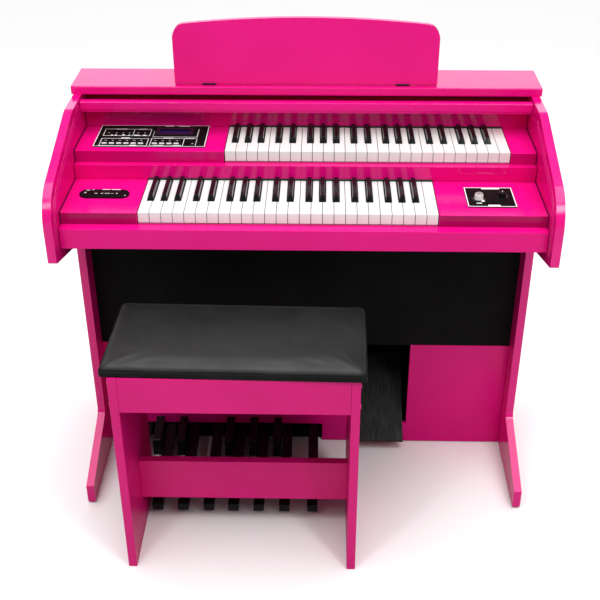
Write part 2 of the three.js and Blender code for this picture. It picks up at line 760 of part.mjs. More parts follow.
// Knee panel, and the lower panel with the ways for the bass pedals and the expression pedal
piece(organ, 'knee_panel', blackPaint, block(-inner + seam, inner - seam,
  panelFace, panelFace + kneeThickness, lowerPanelTop + seam, lowerKeybedBottom - seam));
const pedalOpeningLeft = -inner + pedalInset;
const naturalCentres = {};
let reached = pedalOpeningLeft;
for (const [note, step] of Object.entries(naturalSteps)) {
  reached += step;
  naturalCentres[note] = reached;
}
const pedalOpeningRight = reached + pedalEndGap;
const pedalOpeningTop = leverBottomAtPanel + leverDepthAtPanel + leverClearance;
const treadHeelY = panelFace - treadReach;
const wellLeft = pedalOpeningRight + wellSpacing;
const wellRight = wellLeft + treadSideGap + treadWidth + treadEndGap;
const treadDrop = treadThickness / Math.cos(treadTilt);
const wellSill = treadHeelZ + treadReach * Math.tan(treadTilt) - treadDrop - sillGap;
const lowerPanelOutline = [
  [-inner + seam, lowerPanelGap], [pedalOpeningLeft, lowerPanelGap], [pedalOpeningLeft, pedalOpeningTop],
  [pedalOpeningRight, pedalOpeningTop], [pedalOpeningRight, lowerPanelGap], [inner - seam, lowerPanelGap],
  [inner - seam, lowerPanelTop], [wellRight, lowerPanelTop], [wellRight, wellSill], [wellLeft, wellSill],
  [wellLeft, lowerPanelTop], [-inner + seam, lowerPanelTop],
];
const lowerPanelBack = panelFace + lowerPanelThickness;
piece(organ, 'lower_panel', pink, alongY(rounded(lowerPanelOutline), panelFace, lowerPanelBack));

// Pedal well: an open-fronted box with the two ears that carry the expression pedal
const treadCentre = wellLeft + treadSideGap + treadWidth / 2;
const run = Math.cos(treadTilt);
const rise = Math.sin(treadTilt);
const pivot = {
  y: treadHeelY + treadHeel * run + treadPivotDrop * rise,
  z: treadHeelZ + treadHeel * rise - treadPivotDrop * run,
};
const wellFront = lowerPanelBack + seam;
const wellFloor = wellSill - seam;
const wellBack = backFace - wellRearGap;
const wellShell = cut(
  block(wellLeft - wellWall, wellRight + wellWall, wellFront, wellBack, wellFloor - wellWall, lowerPanelTop),
  block(wellLeft, wellRight, wellFront - overrun, wellBack - wellWall, wellFloor, lowerPanelTop - wellWall),
);
const earStart = lugSpread / 2 + lugThickness / 2 + earGap;
const earFoot = wellFloor - wellWall / 2;
const earTop = pivot.z + earRadius;
const earOutline = [
  [pivot.y - earRadius, earFoot, 0], [pivot.y + earRadius, earFoot, 0],
  [pivot.y + earRadius, earTop, earRadius - seam], [pivot.y - earRadius, earTop, earRadius - seam],
];
const ears = [-1, 1].map((side) => {
  const near = treadCentre + side * earStart;
  const far = near + side * earThickness;
  return alongX(rounded(earOutline), Math.min(near, far), Math.max(near, far));
});
const stubEnd = earStart + earThickness;
const earBore = rodX(stubRadius + stubClearance, treadCentre - stubEnd - overrun,
  treadCentre + stubEnd + overrun, pivot.y, pivot.z, stubFaces);
piece(organ, 'pedal_well', blackPaint, cut(join(wellShell, ...ears), earBore));

// Expression pedal about its pivot: ribbed tread, turned-down lip, two lugs and their axle
const treadTop = treadPivotDrop;
const treadUnder = treadTop - treadThickness;
const treadSection = [
  [-treadHeel, treadTop - treadLip, 0],
  [-treadHeel, treadTop, treadEdgeRadius],
  [treadToe, treadTop, treadEdgeRadius],
  [treadToe, treadUnder, 0],
  [-treadHeel + treadLipThickness, treadUnder, 0],
  [-treadHeel + treadLipThickness, treadTop - treadLip, 0],
];
const tread = alongX(rounded(treadSection), -treadWidth / 2, treadWidth / 2);
const ribCount = Math.floor((treadWidth - 2 * ribBorder) / ribPitch);
const ribGrooves = Array.from({ length: ribCount + 1 }, (_, i) => {
  const x = (i - ribCount / 2) * ribPitch;
  return block(x - ribGrooveWidth / 2, x + ribGrooveWidth / 2, -treadHeel + ribBorder, treadToe - ribBorder,
    treadTop - ribGrooveDepth, treadTop + overrun);
});
const lugs = [-1, 1].map((side) => {
  const x = (side * lugSpread) / 2;
  return join(
    block(x - lugThickness / 2, x + lugThickness / 2, -lugRadius, lugRadius,
      0, treadUnder + treadThickness / 2),
    rodX(lugRadius, x - lugThickness / 2, x + lugThickness / 2, 0, 0, stubFaces),
  );
});
const expression = piece(organ, 'expression_pedal', blackPlastic,
  cut(join(tread, ...lugs, rodX(stubRadius, -stubEnd, stubEnd, 0, 0, stubFaces)), ...ribGrooves));
expression.position.set(treadCentre, pivot.y, pivot.z);
expression.rotation.x = treadTilt;

// Pedal frame: base board, low front board, two cheeks and the long axle
const pedalUnit = new THREE.Group();
const frameLeft = pedalOpeningLeft - frameSideMargin;
const frameRight = pedalOpeningRight + frameSideMargin;
const frameFront = lowerPanelBack + frameFrontGap;
const frameBack = backFace - frameRearGap;
const pivotY = frameBack - pivotInset;
const pivotZ = leverBottomAtPivot + leverDepthAtPivot / 2;
const cheek = (x0, x1) => block(x0, x1, pivotY - cheekLead, frameBack, frameBase / 2, pivotZ + cheekRise);
piece(pedalUnit, 'pedal_frame', blackPaint, join(
  block(frameLeft, frameRight, frameFront, frameBack, 0, frameBase),
  block(frameLeft, frameRight, frameFront, frameFront + frameBoard,
    frameBase / 2, leverBottomAtPanel - frameStopDrop),
  cheek(frameLeft, frameLeft + frameBoard), cheek(frameRight - frameBoard, frameRight),
  rodX(axleRadius, frameLeft + frameBoard / 2, frameRight - frameBoard / 2, pivotY, pivotZ, axleFaces),
));

// Bass pedals: long levers for the naturals, shorter ones with a raised block for the sharps
const leverEnd = pivotY + leverTail;
const leverTopAtPanel = leverBottomAtPanel + leverDepthAtPanel;
const leverRear = [
  [leverEnd, leverBottomAtPivot, 0],
  [leverEnd, leverBottomAtPivot + leverDepthAtPivot, 0],
  [frameFront + frameBoard, leverTopAtPanel, 0],
];
const naturalTip = panelFace - naturalReach;
const naturalSection = [
  [naturalTip, tipBottom, tipUnderRadius],
  [panelFace, leverBottomAtPanel, 0],
  ...leverRear,
  [panelFace, leverTopAtPanel, 0],
  [naturalTip, tipBottom + tipDepth, tipRadius],
];
const sharpRear = panelFace - sharpPanelGap;
const sharpFront = sharpRear - sharpLength;
const sharpSection = [
  [sharpFront, sharpUnder, tipUnderRadius],
  [panelFace, leverBottomAtPanel, 0],
  ...leverRear,
  [sharpRear + sharpRearRun, leverTopAtPanel, 0],
  [sharpRear, sharpRearTop, sharpRadius],
  [sharpFront, sharpRearTop - sharpFall, sharpRadius],
];

function makePedal(name, section, width, centre) {
  const bore = rodX(axleRadius + axleClearance, -width, width, pivotY, pivotZ, axleFaces);
  const lever = cut(alongX(rounded(section), -width / 2, width / 2), bore);
  piece(pedalUnit, name, blackPlastic, lever).position.x = centre;
}

for (const [note, centre] of Object.entries(naturalCentres)) {
  makePedal(`pedal_${note}`, naturalSection, naturalWidth, centre);
}
for (const [note, [below, above]] of Object.entries(sharpNeighbours)) {
  const low = naturalCentres[below];
  const high = naturalCentres[above];
  const shift = (sharpShiftShare * (high - low - naturalWidth - sharpWidth)) / 2;
  makePedal(`pedal_${note}`, sharpSection, sharpWidth, (low + high) / 2 + shift);
}
organ.add(pedalUnit);

// Roll cover, open: the front rail and the slats that lie in the straight part of the track
const slatPitch = (slatBack - slatFront) / slatCount;
const slatHalf = slatGrooveWidth / 2;
const slatEdges = Array.from({ length: slatCount - 1 }, (_, i) => slatBack - (i + 1) * slatPitch);
const slatSection = [
  [slatFront, coverBottom], [slatBack, coverBottom], [slatBack, slatTop],
  ...slatEdges.flatMap((y) => [
    [y + slatHalf, slatTop], [y, slatTop - slatGrooveDepth], [y - slatHalf, slatTop]]),
  [slatFront, slatTop],
];
const tongueReach = inner + grooveDepth - tongueClearance;
const coverFront = fasciaFace - coverReach;
const coverTop = caseTop - coverDrop;
const coverRailSection = [
  [coverFront, slatTop - slatClearance, 0], [coverFront + coverRail, slatTop - slatClearance, 0],
  [coverFront + coverRail, coverTop, coverRailRadius], [coverFront, coverTop, coverRailRadius],
];
piece(organ, 'roll_cover', pink, join(
  alongX(rounded(slatSection), -tongueReach, tongueReach),
  alongX(rounded(coverRailSection), -inner + endGap, inner - endGap),
));

// Music rest with a crowned top, standing on the lid on two hinges
const restBottom = lidTop + 2 * seam + hingeLeaf;
const restFace = lidFront + restSetback;
const restCornerTop = restBottom + restShoulderHeight + restCornerRise;
const halfTop = restWidth / 2 - restCornerInset;
const crownRadius = (halfTop * halfTop + restCrest * restCrest) / (2 * restCrest);
const crownTurn = Math.asin(halfTop / crownRadius);
const crown = new THREE.EllipseCurve(0, restCornerTop + restCrest - crownRadius, crownRadius, crownRadius,
  Math.PI / 2 - crownTurn, Math.PI / 2 + crownTurn, false);
function restCorner(side) {
  const pull = restCrest * restCornerShare;
  return new THREE.QuadraticBezierCurve(
    new THREE.Vector2((side * restWidth) / 2, restBottom + restShoulderHeight),
    new THREE.Vector2(side * (restWidth / 2 - pull), restCornerTop - pull),
    new THREE.Vector2(side * halfTop, restCornerTop),
  ).getPoints(restCornerSteps);
}
const restOutline = [
  new THREE.Vector2(-restWidth / 2, restBottom), new THREE.Vector2(restWidth / 2, restBottom),
  ...restCorner(1), ...crown.getPoints(restTopSteps).slice(1, -1), ...restCorner(-1).reverse(),
];
piece(organ, 'music_rest', pink, alongY(restOutline, restFace, restFace + restThickness));

const barrelY = restFace - seam - barrelRadius;
const leafBottom = lidTop + seam;
const barrelZ = leafBottom + barrelRadius;
for (const [name, side] of [['left_rest_hinge', -1], ['right_rest_hinge', 1]]) {
  const half = hingeWidth / 2;
  const leaf = block(-half, half, barrelY, barrelY + hingeLeafDepth, leafBottom, leafBottom + hingeLeaf);
  const barrel = rodX(barrelRadius, -half, half, barrelY, barrelZ, barrelFaces);
  piece(organ, name, blackPlastic, join(leaf, barrel)).position.x = side * (restWidth / 2 - hingeInset);
}

// Bench: two board ends, front and back rails, a stretcher and the cushion
const bench = new THREE.Group();
const benchLeft = naturalCentres.C + naturalWidth / 2 + benchPedalGap;
const benchRight = naturalCentres.high_C + naturalWidth / 2 + benchEndGap + benchBoard;
const benchFront = -benchReach;
const benchBack = benchFront + benchDepth;
const benchTop = apronBottom - benchTopDrop;
const benchRailBottom = benchTop - benchRailDepth;
const benchInside = [benchLeft + benchBoard + seam, benchRight - benchBoard - seam];
const stretcherFront = benchFront + stretcherSetback;
piece(bench, 'bench_left_panel', pink,
  block(benchLeft, benchLeft + benchBoard, benchFront, benchBack, 0, benchTop));
piece(bench, 'bench_right_panel', pink,
  block(benchRight - benchBoard, benchRight, benchFront, benchBack, 0, benchTop));
piece(bench, 'bench_front_rail', pink,
  block(...benchInside, benchFront, benchFront + benchRailThickness, benchRailBottom, benchTop));
piece(bench, 'bench_back_rail', pink,
  block(...benchInside, benchBack - benchRailThickness, benchBack, benchRailBottom, benchTop));
piece(bench, 'bench_stretcher', pink,
  block(...benchInside, stretcherFront, stretcherFront + stretcherThickness,
    stretcherBottom, stretcherBottom + stretcherHeight));

// Cushion: an upright band around a seat board, a crease above it and a padded top that closes into a crown
const cushionWidth = benchRight - benchLeft + 2 * cushionOverhang;
const cushionFront = benchFront - cushionFrontLap;
const cushionBack = benchBack - cushionRearInset;
const cushionDepth = cushionBack - cushionFront;
function cushionRing(inset, height) {
  const radius = Math.max(cushionCorner - inset, cushionCornerLeast);
  const halfX = cushionWidth / 2 - inset - radius;
  const halfY = cushionDepth / 2 - inset - radius;
  const ring = [];
  [[1, 1], [-1, 1], [-1, -1], [1, -1]].forEach(([sx, sy], quarter) => {
    for (let i = 0; i < cushionRingPoints; i += 1) {
      const angle = ((quarter + i / (cushionRingPoints - 1)) * Math.PI) / 2;
      ring.push([sx * halfX + radius * Math.cos(angle), sy * halfY + radius * Math.sin(angle), height]);
    }
  });
  return ring;
}

function loftRings(rings) {
  const size = rings[0].length;
  const top = (rings.length - 1) * size;
  const bottomHub = rings.length * size;
  const topHub = bottomHub + 1;
  const hubs = [[0, 0, rings[0][0][2]], [0, 0, rings.at(-1)[0][2]]];
  const index = [];
  for (let j = 0; j < size; j += 1) {
    const k = (j + 1) % size;
    index.push(bottomHub, k, j);
    for (let low = 0; low < top; low += size) {
      const high = low + size;
      index.push(low + j, low + k, high + k, low + j, high + k, high + j);
    }
    index.push(topHub, top + j, top + k);
  }
  const geometry = new THREE.BufferGeometry();
  geometry.setAttribute('position', new THREE.Float32BufferAttribute([...rings, hubs].flat(2), 3));
  geometry.setIndex(index);
  geometry.computeVertexNormals();
  return geometry;
}

const crownReach = cushionDepth / 2 - 2 * cushionCornerLeast;
const crownRings = Array.from({ length: cushionCrownRings }, (_, i) => {
  const along = (i + 1) / cushionCrownRings;
  const across = along * along;
  const lift = Math.sin((across * Math.PI) / 2) ** cushionFullness;
  const inset = cushionCrease + (crownReach - cushionCrease) * across;
  return cushionRing(inset, cushionBand + cushionCrown * lift);
});
const cushion = piece(bench, 'bench_cushion', leather, loftRings([
  cushionRing(cushionBandRadius, 0),
  cushionRing(0, cushionBandRadius),
  cushionRing(0, cushionBand - cushionBandRadius),
  cushionRing(cushionCrease, cushionBand),
  ...crownRings,
]));
cushion.position.set((benchLeft + benchRight) / 2, (cushionFront + cushionBack) / 2, benchTop + seam);
cushion.rotation.z = cushionSkew;
organ.add(bench);

// The origin lies on the floor in the middle of the whole
const extent = new THREE.Box3().setFromObject(organ, true);
organ.position.y = -(extent.min.y + extent.max.y) / 2;

export default organ;
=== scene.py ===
import math

import bpy
import numpy as np
from mathutils import Matrix, Vector


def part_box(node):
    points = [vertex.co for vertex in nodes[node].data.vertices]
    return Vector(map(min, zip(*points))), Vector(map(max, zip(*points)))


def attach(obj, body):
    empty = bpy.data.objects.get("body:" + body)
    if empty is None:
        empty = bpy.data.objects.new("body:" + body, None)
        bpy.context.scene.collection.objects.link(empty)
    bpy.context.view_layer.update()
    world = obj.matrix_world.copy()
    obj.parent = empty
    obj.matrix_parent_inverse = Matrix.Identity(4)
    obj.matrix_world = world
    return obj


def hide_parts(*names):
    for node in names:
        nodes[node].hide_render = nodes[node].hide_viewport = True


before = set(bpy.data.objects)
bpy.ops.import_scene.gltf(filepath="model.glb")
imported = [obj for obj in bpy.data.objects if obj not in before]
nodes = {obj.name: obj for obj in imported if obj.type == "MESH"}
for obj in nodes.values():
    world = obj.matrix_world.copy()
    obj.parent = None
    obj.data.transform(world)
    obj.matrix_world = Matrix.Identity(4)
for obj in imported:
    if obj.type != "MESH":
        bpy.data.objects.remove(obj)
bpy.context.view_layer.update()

# The view: a long lens from in front of the bench and above the player's head,
# a little to the right of the middle of the console and turned slightly left.
lens_mm = 62.385
view_place = Vector((0.03847, -1.97824, 1.71552))
view_pitch = math.radians(31.56)
view_yaw = math.radians(-1.30)
view_roll = math.radians(0.15)
view_shift = (-0.0018, 0.00005)

ahead = Vector((math.sin(view_yaw) * math.cos(view_pitch),
                math.cos(view_yaw) * math.cos(view_pitch),
                -math.sin(view_pitch)))
level_side = Vector((math.cos(view_yaw), -math.sin(view_yaw), 0.0))
level_down = ahead.cross(level_side)
view_side = math.cos(view_roll) * level_side + math.sin(view_roll) * level_down
view_down = -math.sin(view_roll) * level_side + math.cos(view_roll) * level_down
camera = bpy.data.objects.new("camera", bpy.data.cameras.new("camera"))
camera.data.lens = lens_mm
camera.data.shift_x, camera.data.shift_y = view_shift
turn = Matrix((view_side, -view_down, -ahead)).transposed().to_4x4()
camera.matrix_world = Matrix.Translation(view_place) @ turn
bpy.context.scene.collection.objects.link(camera)
bpy.context.scene.camera = camera
bpy.context.scene.view_settings.view_transform = "Standard"

# The console's boards: particle board under a satin pink lacquer, sprayed after the edges
# were eased with a small round. The spray leaves a faint orange peel and a soft coat over it.
board_nodes = ["top_lid", "front_apron", "upper_left_block", "upper_right_block", "lower_left_block",
               "lower_right_block", "lower_panel", "roll_cover", "music_rest"]
board_edge = 0.0012
pink_deep = (0.75, 0.002, 0.205)
pink_light = (0.80, 0.004, 0.225)


def shader(name, base, roughness, **sockets):
    """A material with its Principled shader; each named value goes on the shader's own socket."""
    material = bpy.data.materials.new(name)
    material.use_nodes = True
    principled = material.node_tree.nodes["Principled BSDF"]
    principled.inputs["Base Color"].default_value = (*base, 1.0)
    principled.inputs["Roughness"].default_value = roughness
    for socket, value in sockets.items():
        principled.inputs[socket.replace("_", " ")].default_value = value
    return material, material.node_tree, principled


def noise(tree, scale, detail=3.0, stretch=(1.0, 1.0, 1.0)):
    """Noise on Object coordinates, in cycles a metre, stretched along the axes."""
    place = tree.nodes.new("ShaderNodeTexCoord")
    mapping = tree.nodes.new("ShaderNodeMapping")
    mapping.inputs["Scale"].default_value = stretch
    texture = tree.nodes.new("ShaderNodeTexNoise")
    texture.inputs["Scale"].default_value = scale
    texture.inputs["Detail"].default_value = detail
    tree.links.new(place.outputs["Object"], mapping.inputs["Vector"])
    tree.links.new(mapping.outputs["Vector"], texture.inputs["Vector"])
    return texture.outputs["Fac"]


def tint(tree, principled, factor, low, high):
    """Base colour that runs from low to high over the middle of the factor's range."""
    ramp = tree.nodes.new("ShaderNodeValToRGB")
    for stop, position, colour in zip(ramp.color_ramp.elements, (0.35, 0.65), (low, high)):
        stop.position = position
        stop.color = (*colour, 1.0)
    tree.links.new(factor, ramp.inputs["Fac"])
    tree.links.new(ramp.outputs["Color"], principled.inputs["Base Color"])


def gloss(tree, principled, factor, low, high):
    """Roughness that runs from low to high over the middle of the factor's range."""
    span = tree.nodes.new("ShaderNodeMapRange")
    for end, value in (("From Min", 0.3), ("From Max", 0.7), ("To Min", low), ("To Max", high)):
        span.inputs[end].default_value = value
    tree.links.new(factor, span.inputs["Value"])
    tree.links.new(span.outputs["Result"], principled.inputs["Roughness"])


def relief(tree, principled, height, distance, strength=1.0):
    """Bump of a height between 0 and 1 times the distance in metres."""
    bump = tree.nodes.new("ShaderNodeBump")
    bump.inputs["Distance"].default_value = distance
    bump.inputs["Strength"].default_value = strength
    tree.links.new(height, bump.inputs["Height"])
    tree.links.new(bump.outputs["Normal"], principled.inputs["Normal"])


pink, tree, principled = shader("pink_lacquer", pink_deep, 0.16, Specular_IOR_Level=0.2)
tint(tree, principled, noise(tree, 5.0), pink_deep, pink_light)
gloss(tree, principled, noise(tree, 40.0), 0.12, 0.2)
relief(tree, principled, noise(tree, 420.0, 2.0), 0.00002)


def smooth_group(sharp_over=math.radians(40)):
    """Geometry nodes that smooth every face and keep the edges over an angle sharp."""
    group = bpy.data.node_groups.new("keep_creases", "GeometryNodeTree")
    group.interface.new_socket("Geometry", in_out="INPUT", socket_type="NodeSocketGeometry")
    group.interface.new_socket("Geometry", in_out="OUTPUT", socket_type="NodeSocketGeometry")
    start = group.nodes.new("NodeGroupInput")
    end = group.nodes.new("NodeGroupOutput")
    angle = group.nodes.new("GeometryNodeInputMeshEdgeAngle")
    under = group.nodes.new("FunctionNodeCompare")
    under.operation = "LESS_THAN"
    under.inputs["B"].default_value = sharp_over
    faces = group.nodes.new("GeometryNodeSetShadeSmooth")
    edges = group.nodes.new("GeometryNodeSetShadeSmooth")
    edges.domain = "EDGE"
    group.links.new(angle.outputs["Unsigned Angle"], under.inputs["A"])
    group.links.new(start.outputs["Geometry"], faces.inputs["Geometry"])
    group.links.new(faces.outputs["Geometry"], edges.inputs["Geometry"])
    group.links.new(under.outputs["Result"], edges.inputs["Shade Smooth"])
    group.links.new(edges.outputs["Geometry"], end.inputs["Geometry"])
    return group


creases = smooth_group()
weld_gap, eased_over = 0.00001, math.radians(32)


def dress(piece, material, edge=0.0, segments=2):
    """Gives a piece its material and, where edge isn't 0, joined faces with eased edges."""
    piece.data.materials.clear()
    piece.data.materials.append(material)
    if edge:
        weld = piece.modifiers.new("weld", "WELD")
        weld.merge_threshold = weld_gap
        bevel = piece.modifiers.new("eased_edges", "BEVEL")
        bevel.width = edge
        bevel.segments = segments
        bevel.limit_method = "ANGLE"
        bevel.angle_limit = eased_over
        bevel.use_clamp_overlap = True
        piece.modifiers.new("creases", "NODES").node_group = creases
        weighted = piece.modifiers.new("flat_faces", "WEIGHTED_NORMAL")
        weighted.keep_sharp = True


for name in board_nodes:
    dress(nodes[name], pink, board_edge)

# The two side boards: one 18 mm board each for wing, leg and foot. The pink lacquer lies thicker on their
# routed edges and shines more.
side_pink, tree, principled = shader("side_lacquer", pink_deep, 0.14, Specular_IOR_Level=0.42)
tint(tree, principled, noise(tree, 5.0), pink_deep, pink_light)
gloss(tree, principled, noise(tree, 30.0), 0.11, 0.17)
relief(tree, principled, noise(tree, 420.0, 2.0), 0.00002)
for name in ["left_side_panel", "right_side_panel"]:
    dress(nodes[name], side_pink, board_edge)

# The two fascias behind the keys: boards set upright along the back of each manual. Their lacquer is rubbed
# to a polish, in which the keys are mirrored.
polished, tree, principled = shader("polished_lacquer", pink_deep, 0.08, Specular_IOR_Level=0.26)
tint(tree, principled, noise(tree, 6.0), (0.70, 0.002, 0.18), (0.77, 0.003, 0.20))
gloss(tree, principled, noise(tree, 30.0), 0.05, 0.11)
relief(tree, principled, noise(tree, 160.0, 2.0), 0.00001)
for name in ["upper_fascia", "middle_rail"]:
    dress(nodes[name], polished, board_edge)

# Black boards: the knee panel, the boards under the keys, the pedal well and frame, and the back.
# They are fibre board with a matt black coating that shows its faint tooth.
black_boards = ["knee_panel", "upper_keybed", "lower_keybed", "pedal_well", "pedal_frame", "back_panel"]
matt, tree, principled = shader("matt_black_board", (0.005, 0.005, 0.005), 0.7, Specular_IOR_Level=0.08)
tint(tree, principled, noise(tree, 8.0), (0.004, 0.004, 0.004), (0.006, 0.006, 0.006))
relief(tree, principled, noise(tree, 900.0, 2.0), 0.00006)
for name in black_boards:
    dress(nodes[name], matt, 0.0008)

# Painted shade in the joints: black strips set in the gap between each block and its side board, along the
# top and down the front, where shade falls in the gap.
gap_shade_wide, gap_shade_proud = 0.0017, 0.0003


def made(name, points, faces, material, smooth=False):
    """A mesh object at the origin from arrays of points in metres and of faces, in its material."""
    mesh = bpy.data.meshes.new(name)
    mesh.from_pydata(np.asarray(points, float).tolist(), [], [list(face) for face in faces])
    mesh.polygons.foreach_set("use_smooth", np.full(len(mesh.polygons), smooth))
    mesh.update()
    piece = bpy.data.objects.new(name, mesh)
    bpy.context.scene.collection.objects.link(piece)
    piece.data.materials.append(material)
    return piece


def strips(low, high):
    """Boxes from rows of low and high corners. Corner k of a box takes x, y or z from the high corner
    where bit 0, 1 or 2 of k is set, and the six faces are the same for every box."""
    low, high = np.asarray(low, float), np.asarray(high, float)
    bits = (np.arange(8)[:, None] >> np.arange(3)) & 1
    points = low[:, None] + (high - low)[:, None] * bits
    side = np.array([[0, 2, 3, 1], [4, 5, 7, 6], [0, 1, 5, 4], [2, 6, 7, 3], [0, 4, 6, 2], [1, 3, 7, 5]])
    faces = np.arange(len(low))[:, None, None] * 8 + side
    return points.reshape(-1, 3), faces.reshape(-1, 4)


# The strips' black is painted shade: the joint is an open gap, dark because little light reaches into it.
gap_shade_black, tree, principled = shader("gap_shade_black", (0.003, 0.003, 0.003), 0.95, Specular_IOR_Level=0.05)
relief(tree, principled, noise(tree, 1800.0, 2.0), 0.00008)
inner_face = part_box("right_side_panel")[0][0]
gap_shade_low, gap_shade_high = [], []
for name, foot, back in (("upper_left_block", "middle_rail", "upper_fascia"),
                         ("upper_right_block", "middle_rail", "upper_fascia"),
                         ("lower_left_block", "front_apron", "middle_rail"),
                         ("lower_right_block", "front_apron", "middle_rail")):
    block_low, block_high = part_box(name)
    near_x, far_x = ((-inner_face, gap_shade_wide - inner_face) if "left" in name
                     else (inner_face - gap_shade_wide, inner_face))
    front, top = block_low[1], block_high[2]
    gap_shade_low += [(near_x, front - gap_shade_proud, top - gap_shade_proud),
                   (near_x, front - gap_shade_proud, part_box(foot)[1][2])]
    gap_shade_high += [(far_x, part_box(back)[0][1], top + gap_shade_proud),
                    (far_x, front + gap_shade_proud, top - gap_shade_proud)]
gap_shade_strips = made("block_gap_shade", *strips(gap_shade_low, gap_shade_high), gap_shade_black)
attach(gap_shade_strips, "case")

# Painted shade on the block fronts: a band of darker pink on the front of each block, where shade falls under
# the keys. It stays clear of the block's eased edges, and the lower bands are darker than the upper ones, for
# deeper painted shade.
band_thick, band_sunk, band_gap = 0.0003, 0.0004, 0.0002
band_margin = 0.0014
for level, shade, rail in (("upper", 0.52, "middle_rail"), ("lower", 0.36, "front_apron")):
    # The bands' darker pink is painted shade, not a lacquer of its own; it is deepest on the lower manual.
    shade_pink, tree, principled = shader(level + "_painted_shade_lacquer", (shade, 0.001, shade * 0.26), 0.2,
                                         Specular_IOR_Level=0.2)
    tint(tree, principled, noise(tree, 7.0), (shade * 0.96, 0.001, shade * 0.25),
         (shade * 1.04, 0.002, shade * 0.27))
    gloss(tree, principled, noise(tree, 40.0), 0.16, 0.24)
    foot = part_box(rail)[1][2] + band_gap
    band_low, band_high = [], []
    for side in ("left", "right"):
        block_low, block_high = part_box(f"{level}_{side}_block")
        front, top = block_low[1], block_high[2] - band_margin
        band_low.append((block_low[0] + band_margin, front - band_thick, foot))
        band_high.append((block_high[0] - band_margin, front + band_sunk, top))
    painted_bands = made(level + "_shade_bands", *strips(band_low, band_high), shade_pink)
    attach(painted_bands, "case")

# Track lips: two half-round beads routed on the inner face of each side board, one along each edge of the
# roll cover's track. They start below the open cover, follow the slope and the nose, and run down past the
# apron. Places are y and z in the console's side view, and turns count from the direction of the back.
lip_radius, lip_sunk = 0.0014, 0.3
front_lip_inset, rear_lip_inset = 0.0215, 0.0326
shoulder_centre, shoulder_round = np.array([0.1217, 0.831]), 0.070
nose_centre, nose_round = np.array([-0.079, 0.7557]), 0.082
cover_turn, slope_turn = math.radians(93), math.radians(107.35)
lip_foot = 0.690


def ring_quads(rows, columns):
    """Quads between closed rings in a row: each joins two points of a ring to the two beside them."""
    row, column = np.meshgrid(np.arange(rows - 1), np.arange(columns), indexing="ij")
    after = (column + 1) % columns
    return np.stack([row * columns + column, row * columns + after,
                     (row + 1) * columns + after, (row + 1) * columns + column], -1).reshape(-1, 4)


def track_lip(inset, side, shoulder_steps=8, nose_steps=31):
    """A bead of half-round section along the board's outline moved in by an inset: an arc over the
    shoulder, an arc round the nose and a straight run down. The section turns with the outline's normal,
    cos t along it and sin t into the console, and its flat side lies inside the board."""
    turn = np.concatenate([np.linspace(cover_turn, slope_turn, shoulder_steps),
                           np.linspace(slope_turn, math.pi, nose_steps - 1), [math.pi]])
    steps = [shoulder_steps, nose_steps]
    centre = np.repeat([shoulder_centre, nose_centre], steps, 0)
    reach = np.repeat([shoulder_round, nose_round], steps) - inset
    normal = np.stack([np.cos(turn), np.sin(turn)], 1)
    path = centre + reach[:, None] * normal
    path[-1, 1] = lip_foot
    t = np.linspace(0, math.pi, 9)
    across = np.concatenate([np.cos(t), [-1.0, 1.0]]) * lip_radius
    inward = np.concatenate([np.sin(t), [-lip_sunk, -lip_sunk]]) * lip_radius
    yz = path[:, None] + across[None, :, None] * normal[:, None]
    x = np.broadcast_to(side * (inner_face - inward), yz.shape[:2])
    points = np.concatenate([x[..., None], yz], 2)
    rows, columns = x.shape
    ends = [list(range(columns))[::-1], list(range((rows - 1) * columns, rows * columns))]
    faces = ring_quads(rows, columns).tolist() + ends
    if side < 0:
        faces = [face[::-1] for face in faces]
    return points.reshape(-1, 3), faces


for side, word in ((-1, "left"), (1, "right")):
    front_points, front_faces = track_lip(front_lip_inset, side)
    rear_points, rear_faces = track_lip(rear_lip_inset, side)
    rear_faces = [[corner + len(front_points) for corner in face] for face in rear_faces]
    lips = made("track_lips_" + word, np.concatenate([front_points, rear_points]),
                front_faces + rear_faces, side_pink, True)
    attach(lips, "case")

# White keys: moulded ivory-white plastic with a polished top. Each manual has two combs of them, whose keys
# lie between each other, and which rock on ridges of the steel tray.
white_key_nodes = [f"{manual}_white_keys_{comb}" for manual in ("upper", "lower") for comb in ("cegb", "dfa")]
ivory, tree, principled = shader("white_keys", (0.77, 0.78, 0.765), 0.18, Specular_IOR_Level=0.35)
tint(tree, principled, noise(tree, 12.0), (0.75, 0.765, 0.745), (0.79, 0.80, 0.785))
gloss(tree, principled, noise(tree, 90.0), 0.16, 0.24)
for name in white_key_nodes:
    dress(nodes[name], ivory, 0.0006)

# Black keys: one comb in each manual, moulded in black plastic and polished. Their sheen varies a little
# over their tops.
black_key_nodes = ["upper_black_keys", "lower_black_keys"]
ebony, tree, principled = shader("black_keys", (0.005, 0.005, 0.006), 0.16, Specular_IOR_Level=0.2)
gloss(tree, principled, noise(tree, 120.0), 0.10, 0.20)
for name in black_key_nodes:
    dress(nodes[name], ebony, 0.0009, 3)

# Key trays: sheet steel, folded and zinc-plated, on the board under each manual. The crystals of the zinc
# show as patches of brighter and duller metal.
tray, tree, principled = shader("zinc_tray", (0.42, 0.43, 0.45), 0.4, Metallic=1.0)
gloss(tree, principled, noise(tree, 60.0), 0.3, 0.5)
for name in ["upper_key_chassis", "lower_key_chassis"]:
    dress(nodes[name], tray)

# Name-board felts: short strips of dark green felt, glued along the foot of each fascia over the backs of
# the white keys, with a gap for every black key.
felt_green = (0.012, 0.035, 0.016)
felt_thick, felt_sunk, felt_gap = 0.0024, 0.0001, 0.0003
key_clearance = 0.0012
half_white_key, black_top_deep = 0.0118, 0.003


def mesh_points(mesh):
    """The places of a mesh's points, one row each."""
    flat = np.empty(len(mesh.vertices) * 3)
    mesh.vertices.foreach_get("co", flat)
    return flat.reshape(-1, 3)


